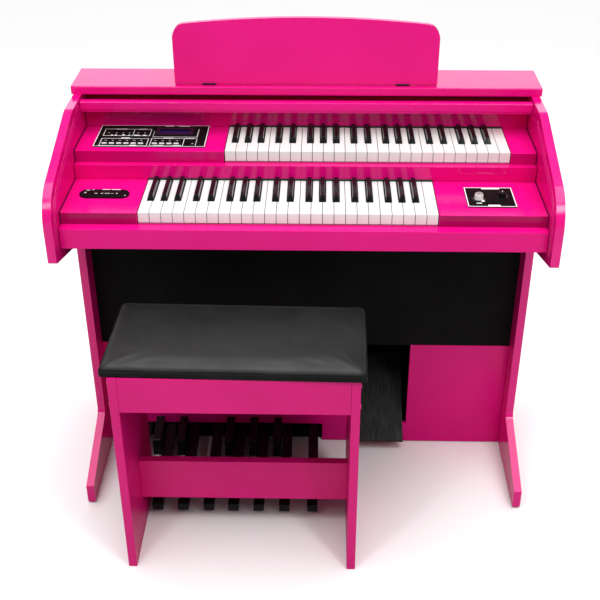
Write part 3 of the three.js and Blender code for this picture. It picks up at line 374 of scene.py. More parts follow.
def black_spans(node):
    """Left and right edges of a manual's black keys: the places of the points on their tops, in rising
    order, split wherever the next one is farther off than half a white key."""
    points = mesh_points(node.data)
    across = np.sort(points[points[:, 2] > points[:, 2].max() - black_top_deep, 0])
    ends = np.flatnonzero(np.diff(across) > half_white_key)
    first, last = np.concatenate([[0], ends + 1]), np.concatenate([ends, [len(across) - 1]])
    return np.stack([across[first], across[last]], 1)


felt, tree, principled = shader("green_felt", felt_green, 0.95, Sheen_Weight=0.3, Specular_IOR_Level=0.1)
tint(tree, principled, noise(tree, 300.0), (0.006, 0.020, 0.010), (0.011, 0.032, 0.016))
relief(tree, principled, noise(tree, 1600.0, 3.0), 0.0004)
for manual, rail, tall in (("lower", "middle_rail", 0.0036), ("upper", "upper_fascia", 0.0022)):
    white_low, white_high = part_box(manual + "_white_keys_cegb")
    rail_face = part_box(rail)[0][1]
    spans = black_spans(nodes[manual + "_black_keys"])
    starts = np.concatenate([[white_low[0]], spans[:, 1] + key_clearance])
    stops = np.concatenate([spans[:, 0] - key_clearance, [white_high[0]]])
    level = white_high[2] + felt_gap
    low_corner = np.tile([0.0, rail_face - felt_thick, level], (len(starts), 1))
    high_corner = np.tile([0.0, rail_face + felt_sunk, level + tall], (len(stops), 1))
    low_corner[:, 0], high_corner[:, 0] = starts, stops
    strip = made(manual + "_name_felt", *strips(low_corner, high_corner), felt)
    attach(strip, "case")

# Key slip felts: pink felt along the back of the rail in front of each manual, standing proud of it before
# the lips of the keys.
slip_proud, slip_deep, slip_gap = 0.0018, 0.006, 0.0006
slip, tree, principled = shader("pink_felt", (0.62, 0.02, 0.20), 0.9, Sheen_Weight=0.3,
                                Specular_IOR_Level=0.1)
tint(tree, principled, noise(tree, 400.0), (0.55, 0.012, 0.17), (0.70, 0.03, 0.24))
relief(tree, principled, noise(tree, 1600.0, 3.0), 0.0003)
for manual, rail in (("lower", "front_apron"), ("upper", "middle_rail")):
    white_low, white_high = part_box(manual + "_white_keys_cegb")
    rail_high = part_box(rail)[1]
    strip = made(manual + "_slip_felt",
                 *strips([(white_low[0], rail_high[1] - felt_sunk, rail_high[2] - slip_deep)],
                         [(white_high[0], white_low[1] - slip_gap, rail_high[2] + slip_proud)]), slip)
    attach(strip, "case")

# Glides, hinges and the small knob: black moulded plastic with a fine spark-eroded grain. The three panels
# are of the same plastic with a duller coat for the print.
plastic, tree, principled = shader("black_plastic", (0.006, 0.006, 0.006), 0.3, Specular_IOR_Level=0.14)
tint(tree, principled, noise(tree, 30.0), (0.004, 0.004, 0.004), (0.008, 0.007, 0.007))
relief(tree, principled, noise(tree, 1400.0, 2.0), 0.00003)
small_black = ["front_left_glide", "front_right_glide", "rear_left_glide", "rear_right_glide", "tone_knob",
               "left_rest_hinge", "right_rest_hinge"]
for name in small_black:
    dress(nodes[name], plastic, 0.0004)
panel_black, tree, principled = shader("panel_black", (0.004, 0.004, 0.005), 0.42, Specular_IOR_Level=0.04)
tint(tree, principled, noise(tree, 30.0), (0.003, 0.003, 0.004), (0.006, 0.006, 0.006))
relief(tree, principled, noise(tree, 1400.0, 2.0), 0.00003)
for name in ["control_panel", "pill_panel", "dial_panel"]:
    dress(nodes[name], panel_black, 0.0004)

# Control panel print: white and grey ink, screen-printed in several passes, so it stands a little proud. It
# frames two groups of voices on the left, and the display, two small groups and their captions on the right.
# The captions are blank strips. Places are in millimetres, in the frame of the model: left, right, near, far.
ink_rise, ink_sunk = 0.00015, 0.00002
line, border = 1.15, 1.5


def frame_bars(left, right, near, far, width):
    """The four bars of a printed rectangle, as rows of left, right, near and far."""
    return [(left, right, near, near + width), (left, right, far - width, far),
            (left, left + width, near + width, far - width),
            (right - width, right, near + width, far - width)]


def printed(name, bars, level, material, rise=ink_rise):
    """Ink bars, as rows of left, right, near and far in millimetres, on a panel whose top is at a level."""
    rows = np.array(bars, float) / 1000
    low = np.stack([rows[:, 0], rows[:, 2], np.full(len(rows), level - ink_sunk)], 1)
    high = np.stack([rows[:, 1], rows[:, 3], np.full(len(rows), level + rise)], 1)
    piece = made(name, *strips(low, high), material)
    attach(piece, "case")


def panel_border(node, inset, width):
    """The bars of a border printed round a panel, moved in by an inset from its edges."""
    low, high = np.array(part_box(node)) * 1000
    return frame_bars(low[0] + inset, high[0] - inset, low[1] + inset, high[1] - inset, width)


panel_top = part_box("control_panel")[1][2]
white_ink, tree, principled = shader("white_ink", (0.86, 0.88, 0.87), 0.5)
tint(tree, principled, noise(tree, 500.0), (0.86, 0.89, 0.88), (0.95, 0.97, 0.96))
grey_ink, tree, principled = shader("grey_ink", (0.30, 0.30, 0.29), 0.55)
tint(tree, principled, noise(tree, 500.0), (0.34, 0.34, 0.33), (0.52, 0.52, 0.51))
voice_frames = (frame_bars(-447, -343, 158.5, 197, line) + [(-381.6, -380.7, 159.4, 196.1)]
                + frame_bars(-446.5, -342.5, 103, 143.6, line) + frame_bars(-337, -264, 104, 145, line)
                + [(-264.0, -236.5, 144.1, 145), (-237.4, -236.5, 106, 144.1)])
voice_captions = [(-424, -399, 194.6, 198.6), (-372, -354, 194.6, 198.6), (-404, -385, 141.8, 147.6),
                  (-312, -289, 143.4, 147.6), (-263, -243.5, 143.4, 147.2), (-315.7, -296.4, 213.4, 216.4),
                  (-284.8, -260.7, 213.4, 216.4)]
small_captions = [(-429.5, -425.3, 160.3, 164), (-421, -416.8, 160.3, 164.6), (-404.7, -399.5, 161, 165.6),
                  (-390.8, -387.4, 160.6, 164.4), (-378, -366, 160.2, 163.8), (-358.6, -351.6, 160.2, 163.8),
                  (-380, -364.6, 104.6, 107.4), (-328.5, -306.5, 104.9, 107.2), (-286.8, -268, 104.9, 107.4),
                  (-246, -242.6, 115.6, 117.4)]
bar_centres = [-435.8 + 15.66 * k for k in range(6)] + [-326.8, -310.9, -295.1, -279.2]
tick_marks = [(x - 2.2, x + 2.2, 130.8, 133.4) for x in bar_centres]
voice_marks = [(x - 1.6, x + 1.6, 174, 177) for x in (-436, -419, -404, -390, -371, -356)]
printed("control_print", panel_border("control_panel", 0.5, border) + voice_frames + voice_captions,
        panel_top, white_ink)
printed("control_small_print", small_captions, panel_top, white_ink)
printed("control_tick_print", tick_marks + voice_marks, panel_top, grey_ink)

# Display: a dark blue pane with rows of unlit character cells, set in a black bezel, with a grey bracket on
# three of its sides.
display, tree, principled = shader("display_pane", (0.010, 0.006, 0.060), 0.12)
cells = tree.nodes.new("ShaderNodeTexBrick")
cells.offset = 0.0
for socket, value in (("Color1", (0.020, 0.012, 0.115, 1.0)), ("Color2", (0.016, 0.010, 0.100, 1.0)),
                      ("Mortar", (0.007, 0.004, 0.045, 1.0)), ("Scale", 1.0), ("Mortar Size", 0.0004),
                      ("Brick Width", 0.0036), ("Row Height", 0.0085)):
    cells.inputs[socket].default_value = value
cells_place = tree.nodes.new("ShaderNodeTexCoord")
tree.links.new(cells_place.outputs["Object"], cells.inputs["Vector"])
tree.links.new(cells.outputs["Color"], principled.inputs["Base Color"])
dress(nodes["display_window"], display)
printed("display_bracket", [(-336, -236.5, 151.4, 153.4), (-336, -334.8, 153.4, 184),
                            (-239, -236.5, 153.4, 198)], panel_top, grey_ink, 0.0006)
bezel, tree, principled = shader("display_bezel", (0.014, 0.010, 0.022), 0.22)
gloss(tree, principled, noise(tree, 200.0), 0.18, 0.28)
printed("display_bezel", frame_bars(-331, -249, 165, 204.6, 7.4), panel_top, bezel, 0.0009)

# Signal lights: two small domed lenses of red plastic, pressed into the panel at the back corners of the
# display's bezel. They are unlit.
lens, tree, principled = shader("red_lens", (0.35, 0.006, 0.010), 0.15)
tint(tree, principled, noise(tree, 900.0), (0.28, 0.004, 0.008), (0.42, 0.010, 0.014))


def upright(axis):
    """Three square directions as columns, the last along the axis."""
    lift = np.array(axis, float) / np.linalg.norm(axis)
    across = np.cross([0.0, 1.0, 0.0] if abs(lift[1]) < 0.9 else [1.0, 0.0, 0.0], lift)
    across /= np.linalg.norm(across)
    return np.stack([across, np.cross(lift, across), lift], 1)


def end_fans(rows, columns):
    """Triangles that close the first and the last ring on two middle points, listed after the rings."""
    around, following = np.arange(columns), (np.arange(columns) + 1) % columns
    under = np.stack([np.full(columns, rows * columns), following, around], 1)
    over = np.stack([np.full(columns, rows * columns + 1), (rows - 1) * columns + around,
                     (rows - 1) * columns + following], 1)
    return np.concatenate([under, over])


def turned(profile, centres, axis=(0, 0, 1), columns=24, cross=0.0):
    """Turned solids: a profile of radius and height goes once round an axis at every centre, and its ends
    close on the axis in fans. Where cross isn't 0, the upper rings drop by it within a cross whose arms
    have a width and a length in shares of the largest radius."""
    profile, centres = np.array(profile, float), np.array(centres, float)
    arm_wide, arm_long = 0.15, 0.6
    rings = len(profile)
    turn = np.linspace(0, 2 * np.pi, columns, endpoint=False)
    x = profile[:, :1] * np.cos(turn)
    y = profile[:, :1] * np.sin(turn)
    z = np.repeat(profile[:, 1:], columns, 1)
    reach = profile[:, 0].max()
    inside = (np.minimum(abs(x), abs(y)) < arm_wide * reach) & (np.maximum(abs(x), abs(y)) < arm_long * reach)
    z = z - cross * (inside & (np.arange(rings)[:, None] > rings // 3))
    points = np.concatenate([np.stack([x, y, z], -1).reshape(-1, 3),
                             [(0, 0, profile[0, 1]), (0, 0, profile[-1, 1] - cross)]])
    step = np.arange(len(centres))[:, None, None] * len(points)
    walls = (ring_quads(rings, columns) + step).reshape(-1, 4)
    fans = (end_fans(rings, columns) + step).reshape(-1, 3)
    placed = centres[:, None] + points @ upright(axis).T
    return placed.reshape(-1, 3), walls.tolist() + fans.tolist()


lens_profile = [(0.0012, -0.0008), (0.0012, 0.0001), (0.0011, 0.0004), (0.0008, 0.0007), (0.0004, 0.00085)]
lens_places = [(x, 0.2065, panel_top) for x in (-0.2517, -0.3285)]
lights = made("signal_lights", *turned(lens_profile, lens_places), lens, True)
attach(lights, "case")

# Panel screws: blacked steel screws with low heads and a cross recess. They hold each panel down along its
# edges.
screw_black, tree, principled = shader("blacked_screw", (0.03, 0.028, 0.03), 0.35, Metallic=0.7)
gloss(tree, principled, noise(tree, 700.0), 0.25, 0.5)


def screw_heads(name, centres, radius, rise, axis, material, sunk=0.0006, recess=0.35):
    """Low domed heads: height falls with the square of the radius, and the middle has a cross recess, as
    deep as a share of the radius."""
    share = np.linspace(1.0, 0.08, 12)
    dome = np.stack([radius * share, rise * (1 - share ** 2)], 1)
    profile = np.concatenate([[(radius, -sunk)], dome])
    heads = made(name, *turned(profile, centres, axis, 32, radius * recess), material, True)
    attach(heads, "case")


panel_screws = ([(x, 0.2105, panel_top) for x in (-0.4476, -0.3409, -0.2318)]
                + [(x, 0.1095, panel_top) for x in (-0.4502, -0.3405, -0.2275)])
screw_heads("control_screws", panel_screws, 0.0022, 0.0006, (0, 0, 1), screw_black)

# Bar buttons: one mat of white silicone rubber under the control panel, moulded with its ten bars, which
# stand up through it.
rubber, tree, principled = shader("white_rubber", (0.72, 0.72, 0.71), 0.55, Sheen_Weight=0.1)
tint(tree, principled, noise(tree, 200.0), (0.68, 0.68, 0.67), (0.76, 0.76, 0.75))
relief(tree, principled, noise(tree, 1500.0, 2.0), 0.00004)
dress(nodes["control_keypad"], rubber, 0.0004)

# Pill panel print: slots for its four small sliders in built-up black, pale marks beside them, and two white
# caption strips along the back edge. Two screws hold it.
pill_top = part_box("pill_panel")[1][2]
pill_marks = [(-456.6, -449.4, -5.2, -1.2), (-459.8, -455.4, -17.6, -11.8), (-445.4, -440.9, -2.6, 0.4),
              (-437.4, -431.6, -19.4, -16.4), (-424.4, -419.4, -19.6, -16.2), (-416.2, -404.8, -19.4, -16.4),
              (-402.2, -397.8, -19.2, -17.2), (-392.8, -388.8, -19.8, -15.8), (-374, -370.6, -28.6, -25.4)]
printed("pill_print", pill_marks, pill_top, grey_ink)
printed("pill_captions", [(-423.8, -407.6, -0.6, 1.4), (-404.6, -385.4, -0.6, 1.4)], pill_top, white_ink)
slider_centres = (-434.6, -420, -405.4, -390.8)
printed("pill_slots", [(x - 5.2, x + 5.2, -12.6, -10.6) for x in slider_centres], pill_top, bezel,
        0.0005)
screw_heads("pill_screws", [(-0.4625, -0.0245, pill_top), (-0.3715, -0.0035, pill_top)],
            0.0018, 0.0004, (0, 0, 1), screw_black)

# Dial panel print: a white border, the knobs' captions, a white pointer beside the large knob and grey ticks
# round both knobs. It lies on the panel's rim, which is lower than the plate in its middle.
dial_top = 0.7654
dial_border = 2.0
dial_captions = [(374, 412, 21.6, 26.4), (379, 404, -58.4, -52), (356.4, 367.4, -46.4, -43.4),
                 (407.6, 419.4, 3.4, 5.6)]
printed("dial_print", panel_border("dial_panel", 0.6, dial_border) + dial_captions, dial_top, white_ink)
small_knob, large_knob = np.array([0.4135, -0.0100]), np.array([0.3630, -0.0250])
tick_turn = np.radians(np.linspace(-135, 135, 11))


def radial_ticks(name, centre, turns, near, far, width):
    """Printed bars that point away from a centre: each is a thin box between two radii, turned to its angle,
    which counts from the back."""
    along = np.stack([np.sin(turns), np.cos(turns)], 1)
    side = np.stack([along[:, 1], -along[:, 0]], 1) * width / 2
    inner_mid, outer_mid = centre + along * near, centre + along * far
    corners = np.stack([inner_mid - side, inner_mid + side, outer_mid + side, outer_mid - side], 1)
    base = np.concatenate([corners, np.full((len(turns), 4, 1), dial_top)], 2)
    lid = base + (0.0, 0.0, ink_rise)
    points = np.concatenate([base, lid], 1).reshape(-1, 3)
    box = np.array([[0, 1, 2, 3], [4, 7, 6, 5], [0, 4, 5, 1], [1, 5, 6, 2], [2, 6, 7, 3], [3, 7, 4, 0]])
    faces = (np.arange(len(turns))[:, None, None] * 8 + box).reshape(-1, 4)
    ticks = made(name, points, faces, grey_ink)
    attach(ticks, "case")


radial_ticks("tone_ticks", small_knob, tick_turn, 0.0098, 0.0118, 0.0006)
radial_ticks("volume_ticks", large_knob, tick_turn[:-1], 0.0112, 0.0132, 0.0007)
pointer_corners = [(0.3660, -0.0372), (0.3750, -0.0372), (0.3715, -0.0285)]
pointer_points = [(x, y, z) for z in (dial_top, dial_top + ink_rise) for x, y in pointer_corners]
pointer_mark = made("volume_pointer", pointer_points,
                    [(0, 2, 1), (3, 4, 5), (0, 1, 4, 3), (1, 2, 5, 4), (2, 0, 3, 5)], white_ink)
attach(pointer_mark, "case")
screw_heads("dial_screws", [(x, y, dial_top) for x in (0.3425, 0.4325) for y in (-0.0550, 0.0240)],
            0.0026, 0.0007, (0, 0, 1), screw_black)

# Knobs: the large one is light grey plastic with a brushed satin cap on top, the small one is black with a
# white line let into its top. Both are pushed on their shafts.
grey, tree, principled = shader("grey_knob", (0.80, 0.77, 0.75), 0.4)
tint(tree, principled, noise(tree, 150.0), (0.76, 0.73, 0.71), (0.84, 0.81, 0.79))
gloss(tree, principled, noise(tree, 400.0), 0.32, 0.46)
dress(nodes["volume_knob"], grey, 0.0005)
volume_low, volume_high = np.array(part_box("volume_knob"))
cap_grey, tree, principled = shader("knob_cap", (0.40, 0.40, 0.40), 0.35, Metallic=0.4)
tint(tree, principled, noise(tree, 120.0, 2.0, (1.0, 8.0, 1.0)), (0.34, 0.34, 0.34), (0.46, 0.46, 0.46))
volume_middle = (volume_low + volume_high) / 2
cap_profile = [(0.0078, -0.0001), (0.0078, 0.0003), (0.0074, 0.0005), (0.0040, 0.00055), (0.0008, 0.00055)]
cap_place = (*volume_middle[:2], volume_high[2])
cap = made("volume_cap", *turned(cap_profile, [cap_place], columns=48), cap_grey, True)
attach(cap, "volume_knob")
tone_low, tone_high = np.array(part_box("tone_knob"))
tone_middle = (tone_low + tone_high) / 2
mark_wide, mark_long, mark_sunk, mark_rise = 0.0010, 0.0060, 0.00005, 0.0002
mark_low = tone_middle[0] - mark_wide / 2, tone_middle[1], tone_high[2] - mark_sunk
mark_high = tone_middle[0] + mark_wide / 2, tone_middle[1] + mark_long, tone_high[2] + mark_rise
tone_line = made("tone_line", *strips([mark_low], [mark_high]), white_ink)
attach(tone_line, "tone_knob")

# Pedals: black moulded plastic over steel levers. Shoes have polished them in streaks along their length, and
# dust dulls the rest.
pedal_nodes = [name for name in nodes if name.startswith("pedal_") and name not in black_boards]
pedal_black, tree, principled = shader("pedal_plastic", (0.006, 0.006, 0.006), 0.25, Specular_IOR_Level=0.16)
tint(tree, principled, noise(tree, 25.0, 4.0, (1.0, 0.2, 1.0)), (0.004, 0.004, 0.004), (0.009, 0.009, 0.009))
gloss(tree, principled, noise(tree, 60.0, 4.0, (1.0, 0.15, 1.0)), 0.16, 0.38)
relief(tree, principled, noise(tree, 700.0, 3.0, (1.0, 0.1, 1.0)), 0.00004)
for name in pedal_nodes:
    dress(nodes[name], pedal_black, 0.0015, 3)

# Expression pedal: a ribbed mat of black rubber, glued on a plate. It is scuffed along the ribs where the
# sole slides.
tread, tree, principled = shader("tread_rubber", (0.012, 0.012, 0.012), 0.6, Specular_IOR_Level=0.3)
tint(tree, principled, noise(tree, 60.0, 5.0, (3.0, 0.35, 0.35)), (0.007, 0.008, 0.008),
     (0.024, 0.024, 0.023))
gloss(tree, principled, noise(tree, 90.0, 4.0, (2.0, 0.4, 0.4)), 0.45, 0.75)
relief(tree, principled, noise(tree, 900.0, 3.0), 0.00012)
dress(nodes["expression_pedal"], tread, 0.0006)

# Back panel screws: low zinc-plated heads round the rim of the back panel. They hold it to the boards that
# it closes.
zinc, tree, principled = shader("zinc_screw", (0.55, 0.54, 0.50), 0.35, Metallic=1.0)
gloss(tree, principled, noise(tree, 500.0), 0.28, 0.45)
back_low, back_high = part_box("back_panel")
rim_inset = 0.02
rows_z = np.linspace(back_low[2] + rim_inset, back_high[2] - rim_inset, 7)
rows_x = np.linspace(back_low[0] + rim_inset, back_high[0] - rim_inset, 9)
rim_places = ([(x, back_high[1], z) for z in (rows_z[0], rows_z[-1]) for x in rows_x]
              + [(x, back_high[1], z) for x in (rows_x[0], rows_x[-1]) for z in rows_z[1:-1]])
screw_heads("back_screws", rim_places, 0.0042, 0.0007, (0, 1, 0), zinc)

# Bench: particle boards with a thicker coat of the same lacquer, brushed on along the boards, which shows
# ripples and a duller sheen.
bench_pink, tree, principled = shader("bench_lacquer", pink_deep, 0.3, Specular_IOR_Level=0.25)
tint(tree, principled, noise(tree, 6.0, 2.0), (0.68, 0.004, 0.180), (0.73, 0.006, 0.195))
gloss(tree, principled, noise(tree, 14.0, 2.0), 0.28, 0.34)
relief(tree, principled, noise(tree, 120.0, 2.0, (0.12, 0.5, 1.0)), 0.00005)
bench_rails = ["bench_front_rail", "bench_back_rail", "bench_stretcher"]
for name in ["bench_left_panel", "bench_right_panel"] + bench_rails:
    dress(nodes[name], bench_pink, board_edge)

# Bench screw caps: domed caps of pink plastic, pushed over the screws that hold the rails and the stretcher
# to the ends, two to each joint.
cap_pink, tree, principled = shader("cap_plastic", (0.74, 0.010, 0.21), 0.28)
tint(tree, principled, noise(tree, 80.0), (0.72, 0.008, 0.20), (0.78, 0.014, 0.22))
cap_radius, cap_rise, cap_edge, cap_sunk = 0.0062, 0.0018, 0.0003, 0.0004
cap_apart = 0.052
rail_middles = [np.mean(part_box(name), 0) for name in bench_rails]
cap_places = [(y, z + lift) for x, y, z in rail_middles for lift in (-cap_apart / 2, cap_apart / 2)]
dome_turn = np.linspace(0, np.pi / 2 - 0.12, 7)
dome = np.stack([cap_radius * np.cos(dome_turn), cap_edge + cap_rise * np.sin(dome_turn)], 1)
dome_profile = np.concatenate([[(cap_radius, -cap_sunk)], dome])
for side, face, axis in (("right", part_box("bench_right_panel")[1][0], (1, 0, 0)),
                         ("left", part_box("bench_left_panel")[0][0], (-1, 0, 0))):
    caps = made("bench_caps_" + side, *turned(dome_profile, [(face, y, z) for y, z in cap_places], axis, 28),
                cap_pink, True)
    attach(caps, "bench")

# Cushion: foam on a seat board under black leathercloth. The cloth goes tight round the board as a flat band,
# is drawn in at a crease above it, and the foam swells over it to a low crown. It sits slightly askew.
cushion_low, cushion_high = np.array(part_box("bench_cushion"))
seat_half = np.array([0.266, 0.129])
seat_middle = (cushion_low[:2] + cushion_high[:2]) / 2
seat_turn = math.radians(-1.1)
seat_right = np.array([math.cos(seat_turn), math.sin(seat_turn)])
seat_away = np.array([-math.sin(seat_turn), math.cos(seat_turn)])
seat_corner, corner_growth = 0.008, 0.25
band_tall, band_round, band_sunk = 0.0125, 0.0012, 0.0006
band_top = cushion_low[2] + band_tall
crown_tall = cushion_high[2] - band_top


def rounded_ring(half, corner, runs=(90, 44), bend=8):
    """Outline of a rounded rectangle, anticlockwise: four quarter turns of the corner's radius about the
    inner corners, with evenly spaced straight runs from the end of each turn to the start of the next."""
    signs = np.array([[1, -1], [1, 1], [-1, 1], [-1, -1]])
    quarter = np.linspace(0, np.pi / 2, bend + 1)
    legs = []
    for k in range(4):
        turn = quarter + (k - 1) * np.pi / 2
        arc = signs[k] * (half - corner) + corner * np.stack([np.cos(turn), np.sin(turn)], 1)
        corner_to_corner = (signs[(k + 1) % 4] - signs[k]) * (half - corner)
        steps = np.linspace(0, 1, runs[(k + 1) % 2] + 1)[1:-1, None]
        legs += [arc, arc[-1] + corner_to_corner * steps]
    return np.concatenate(legs)


def seat_rings(section):
    """Rings of the seat's outline for rows of inset and height, turned and moved to the seat's place."""
    rings = []
    for inset, height in section:
        half = seat_half - inset
        ring = rounded_ring(half, min(seat_corner + corner_growth * inset, half.min() * 0.98))
        ring = seat_middle + ring[:, :1] * seat_right + ring[:, 1:] * seat_away
        rings.append(np.column_stack([ring, np.full(len(ring), height)]))
    return np.array(rings)


def closed_rings(name, rings, material):
    """A closed smooth piece from rings of points, with a fan about a middle point on each end."""
    points = np.concatenate([rings.reshape(-1, 3), rings[0].mean(0)[None], rings[-1].mean(0)[None]])
    rows, columns = rings.shape[:2]
    faces = ring_quads(rows, columns).tolist() + end_fans(rows, columns).tolist()
    return made(name, points, faces, material, True)


def pebbled(tree, principled, distance):
    """The embossed pebbles of the cloth: bump by the distance from the nearest cell's middle."""
    place = tree.nodes.new("ShaderNodeTexCoord")
    pebbles = tree.nodes.new("ShaderNodeTexVoronoi")
    pebbles.inputs["Scale"].default_value = 750.0
    tree.links.new(place.outputs["Object"], pebbles.inputs["Vector"])
    relief(tree, principled, pebbles.outputs["Distance"], distance, 0.6)


def crease_shade(tree, principled, dark, dull):
    """Painted shade in the crease: near it the cloth's colour goes dark, and its roughness goes dull. Colour
    and roughness run from their crease values to what they were over a few millimetres of height. A Mix node
    has its own sockets for two colours and for two numbers, which are told apart by their places."""
    colour_a, colour_b, colour_result = 6, 7, 2
    float_a, float_b, float_result = 2, 3, 0
    crease_ends, cloth_clear = band_top + 0.0005, band_top + 0.0080
    place = tree.nodes.new("ShaderNodeTexCoord")
    height = tree.nodes.new("ShaderNodeSeparateXYZ")
    tree.links.new(place.outputs["Object"], height.inputs["Vector"])
    from_crease = tree.nodes.new("ShaderNodeMapRange")
    from_crease.inputs["From Min"].default_value = crease_ends
    from_crease.inputs["From Max"].default_value = cloth_clear
    tree.links.new(height.outputs["Z"], from_crease.inputs["Value"])
    for kind, first, value, second, result, socket in (
            ("RGBA", colour_a, (*dark, 1.0), colour_b, colour_result, "Base Color"),
            ("FLOAT", float_a, dull, float_b, float_result, "Roughness")):
        mixer = tree.nodes.new("ShaderNodeMix")
        mixer.data_type = kind
        mixer.inputs[first].default_value = value
        tree.links.new(from_crease.outputs["Result"], mixer.inputs["Factor"])
        tree.links.new(principled.inputs[socket].links[0].from_socket, mixer.inputs[second])
        tree.links.new(mixer.outputs[result], principled.inputs[socket])


leather, tree, principled = shader("black_leathercloth", (0.022, 0.023, 0.023), 0.5, Specular_IOR_Level=0.32,
                                   Sheen_Weight=0.08, Sheen_Roughness=0.4)
tint(tree, principled, noise(tree, 9.0), (0.017, 0.018, 0.0175), (0.023, 0.024, 0.0235))
gloss(tree, principled, noise(tree, 25.0, 4.0), 0.42, 0.54)
pebbled(tree, principled, 0.00014)
# The crease's dark colour is painted shade; the dull roughness near it is the cloth's own.
crease_shade(tree, principled, (0.004, 0.004, 0.004), 0.95)
# Painted shade on the band: the same cloth as the pad, given a darker colour because its upright sides get
# little light.
band_shaded_leather, tree, principled = shader("band_leathercloth", (0.007, 0.0075, 0.007), 0.55,
                                        Specular_IOR_Level=0.1)
tint(tree, principled, noise(tree, 14.0), (0.005, 0.0055, 0.005), (0.009, 0.0095, 0.009))
pebbled(tree, principled, 0.00010)

# The band's section goes from the middle of its underside round two eased edges to the middle of its top, as
# rows of inset from the outline and height.
bend = np.linspace(0, np.pi / 2, 5)
curve_in, curve_out = band_round * (1 - np.sin(bend)), band_round * (1 - np.cos(bend))
band_section = np.concatenate([
    [(0.120, cushion_low[2]), (0.030, cushion_low[2])],
    np.stack([curve_in, cushion_low[2] + curve_out], 1),
    [(0.0, cushion_low[2] + band_tall * share) for share in (0.35, 0.65)],
    np.stack([curve_out, band_top - curve_in], 1),
    [(inset, band_top - band_sunk) for inset in (0.004, 0.060, 0.120)]])
band = closed_rings("cushion_band", seat_rings(band_section), band_shaded_leather)

# The pad's section starts under the crease. Over it the height nears the rim's by an exponential of the
# inset, and a parabola adds the crown's.
pad_low, pad_side, pad_start = band_top - 0.0070, 0.0022, band_top + 0.0012
rim_tall, rim_run, crown_room, crown_run = 0.0110, 0.0075, 0.002, 0.124
inset_run = np.concatenate([pad_side + 0.034 * np.linspace(0, 1, 12) ** 1.3, np.linspace(0.042, 0.122, 14)])
rise = (rim_tall * (1 - np.exp(-(inset_run - pad_side) / rim_run))
        + (crown_tall - rim_tall - crown_room) * (1 - (1 - (inset_run - pad_side) / crown_run) ** 2))
pad_section = np.concatenate([
    [(inset, pad_low) for inset in (0.122, 0.060, 0.012, pad_side)],
    [(pad_side, band_top - 0.0030)],
    np.stack([inset_run, pad_start + rise], 1)])
pad = closed_rings("cushion_pad", seat_rings(pad_section), leather)


def remeshed(piece, cell):
    """The piece's surface rebuilt as even quads of a cell size."""
    voxels = piece.modifiers.new("even_quads", "REMESH")
    voxels.mode = "VOXEL"
    voxels.voxel_size = cell
    voxels.use_smooth_shade = True
    rebuilt = bpy.data.meshes.new_from_object(piece.evaluated_get(bpy.context.evaluated_depsgraph_get()))
    piece.modifiers.clear()
    piece.data = rebuilt


def filled(piece, held, pressure, cap, steps=20):
    """Foam under cloth: the held points stay, pressure swells the rest for some steps, and no point ends
    farther from its start than the cap, which it nears as a hyperbolic tangent does."""
    start = mesh_points(piece.data)
    group = piece.vertex_groups.new(name="held")
    group.add(np.flatnonzero(held).tolist(), 1.0, "REPLACE")
    cloth = piece.modifiers.new("cloth", "CLOTH")
    for setting, value in (("quality", 5), ("tension_stiffness", 20), ("compression_stiffness", 20),
                           ("shear_stiffness", 12), ("bending_stiffness", 1.5), ("use_pressure", True),
                           ("uniform_pressure_force", pressure), ("vertex_group_mass", "held")):
        setattr(cloth.settings, setting, value)
    cloth.settings.effector_weights.gravity = 0
    cloth.point_cache.frame_start = 1
    cloth.point_cache.frame_end = steps
    for step in range(1, steps + 1):
        bpy.context.scene.frame_set(step)
    swollen = piece.evaluated_get(bpy.context.evaluated_depsgraph_get())
    moved = mesh_points(swollen.data) - start
    size = np.linalg.norm(moved, axis=1, keepdims=True)
    settled = start + moved * cap * np.tanh(size / cap) / np.maximum(size, 1e-9)
    piece.modifiers.clear()
    piece.vertex_groups.clear()
    bpy.context.scene.frame_set(1)
    piece.data.vertices.foreach_set("co", settled.ravel())
    piece.data.update()


pad_cell, pad_pressure, pad_swell, held_tall = 0.0045, 1.5, 0.0022, 0.0006
remeshed(pad, pad_cell)
below_crease = mesh_points(pad.data)[:, 2] < band_top + held_tall
filled(pad, below_crease, pad_pressure, pad_swell)
eased = pad.modifiers.new("eased_folds", "SMOOTH")
eased.factor = 0.5
eased.iterations = 7

# Puckers: small uneven folds run in from the crease and die out on the slope. Each is a wave along the edge,
# whose length wanders and whose height rises and falls, times an exponential of the way in from the edge.
pucker_tall, pucker_run, pucker_start, pucker_grown = 0.0007, 0.012, 0.0005, 0.003
pucker_apart, pucker_wander, pucker_swell = 0.047, 0.163, 0.118
pad_points = mesh_points(pad.data)
from_middle = pad_points[:, :2] - seat_middle
to_right, to_away = from_middle @ seat_right, from_middle @ seat_away
side_room, front_room = seat_half[0] - np.abs(to_right), seat_half[1] - np.abs(to_away)
cycle = 2 * np.pi * np.where(side_room < front_room, to_away + 0.7, to_right)
wave = np.sin(cycle / pucker_apart + 1.4 * np.sin(cycle / pucker_wander)) * np.sin(cycle / pucker_swell + 0.8)
grown = np.clip((pad_points[:, 2] - band_top - pucker_start) / pucker_grown, 0, 1)
pad_points[:, 2] += pucker_tall * wave * np.exp(-np.minimum(side_room, front_room) / pucker_run) * grown
pad.data.vertices.foreach_set("co", pad_points.ravel())
pad.data.update()
soft = pad.modifiers.new("soft", "SUBSURF")
soft.levels = 1
soft.render_levels = 1
for piece, fill in ((pad, 0.8), (band, 0.9)):
    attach(piece, "bench")
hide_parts("bench_cushion")
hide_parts("bench_cushion")

# The floor: a wide sheet of white studio board. It looks brighter to the camera than to the console, so that
# it is near white without lighting the console's upright boards too strongly.
floor_half = 14.0


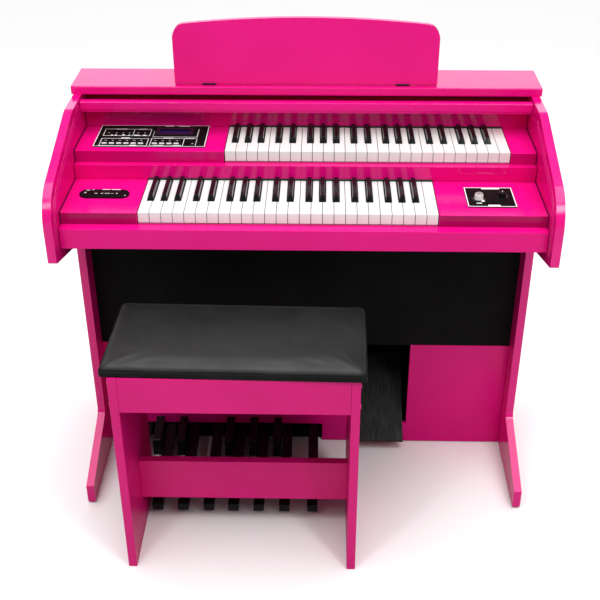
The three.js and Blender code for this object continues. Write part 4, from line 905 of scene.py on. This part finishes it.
def camera_sees(tree, lighting, looks, surface):
    """Joins two shaders to an output: the camera sees the looks, and everything else the lighting."""
    ray = tree.nodes.new("ShaderNodeLightPath")
    either = tree.nodes.new("ShaderNodeMixShader")
    tree.links.new(ray.outputs["Is Camera Ray"], either.inputs["Fac"])
    tree.links.new(lighting, either.inputs[1])
    tree.links.new(looks, either.inputs[2])
    tree.links.new(either.outputs["Shader"], surface)


floor_paint, tree, principled = shader("floor_paint", (0.95, 0.95, 0.95), 0.6)
lit_paint = tree.nodes.new("ShaderNodeBsdfDiffuse")
lit_paint.inputs["Color"].default_value = (0.6, 0.6, 0.6, 1.0)
camera_sees(tree, lit_paint.outputs["BSDF"], principled.outputs["BSDF"],
            tree.nodes["Material Output"].inputs["Surface"])
floor_corners = [(x * floor_half, y * floor_half, 0.0) for x, y in ((-1, -1), (1, -1), (1, 1), (-1, 1))]
made("floor", floor_corners, [(0, 1, 2, 3)], floor_paint)

# Soft studio light: a dim pale room before a white backdrop, a broad light from straight above, a softbox
# over the player, a tall narrow one on each side of the camera, and a wide one behind that shines along the
# top.
world = bpy.data.worlds.new("room")
world.use_nodes = True
tree = world.node_tree
room, backdrop = tree.nodes["Background"], tree.nodes.new("ShaderNodeBackground")
for background, strength in ((room, 0.28), (backdrop, 1.0)):
    background.inputs["Color"].default_value = (1.0, 1.0, 1.0, 1.0)
    background.inputs["Strength"].default_value = strength
camera_sees(tree, room.outputs["Background"], backdrop.outputs["Background"],
            tree.nodes["World Output"].inputs["Surface"])
bpy.context.scene.world = world
sky = bpy.data.objects.new("light_above", bpy.data.lights.new("light_above", "SUN"))
sky.data.energy = 2.4
sky.data.angle = math.radians(60)
bpy.context.scene.collection.objects.link(sky)


def softbox(name, place, aim, width, height, radiance):
    """A rectangular area light at a place, aimed at a point. Its power is pi times its area times its
    radiance."""
    data = bpy.data.lights.new(name, "AREA")
    data.shape = "RECTANGLE"
    data.size, data.size_y = width, height
    data.energy = math.pi * width * height * radiance
    lit = bpy.data.objects.new(name, data)
    lit.location = place
    lit.rotation_mode = "QUATERNION"
    lit.rotation_quaternion = (Vector(aim) - Vector(place)).to_track_quat("-Z", "Y")
    bpy.context.scene.collection.objects.link(lit)


softbox("softbox_front", (0.0, -1.3, 2.7), (0.0, 0.05, 0.85), 1.5, 0.6, 4.2)
softbox("softbox_left", (-0.874, -1.426, 2.515), (0.0, 0.0, 0.75), 0.26, 1.5, 9.0)
softbox("softbox_right", (0.91, -1.48, 2.44), (0.0, 0.0, 0.75), 0.26, 1.5, 13.0)
softbox("softbox_behind", (0.0, 2.6, 1.8), (0.0, 0.2, 0.92), 3.2, 0.9, 2.0)
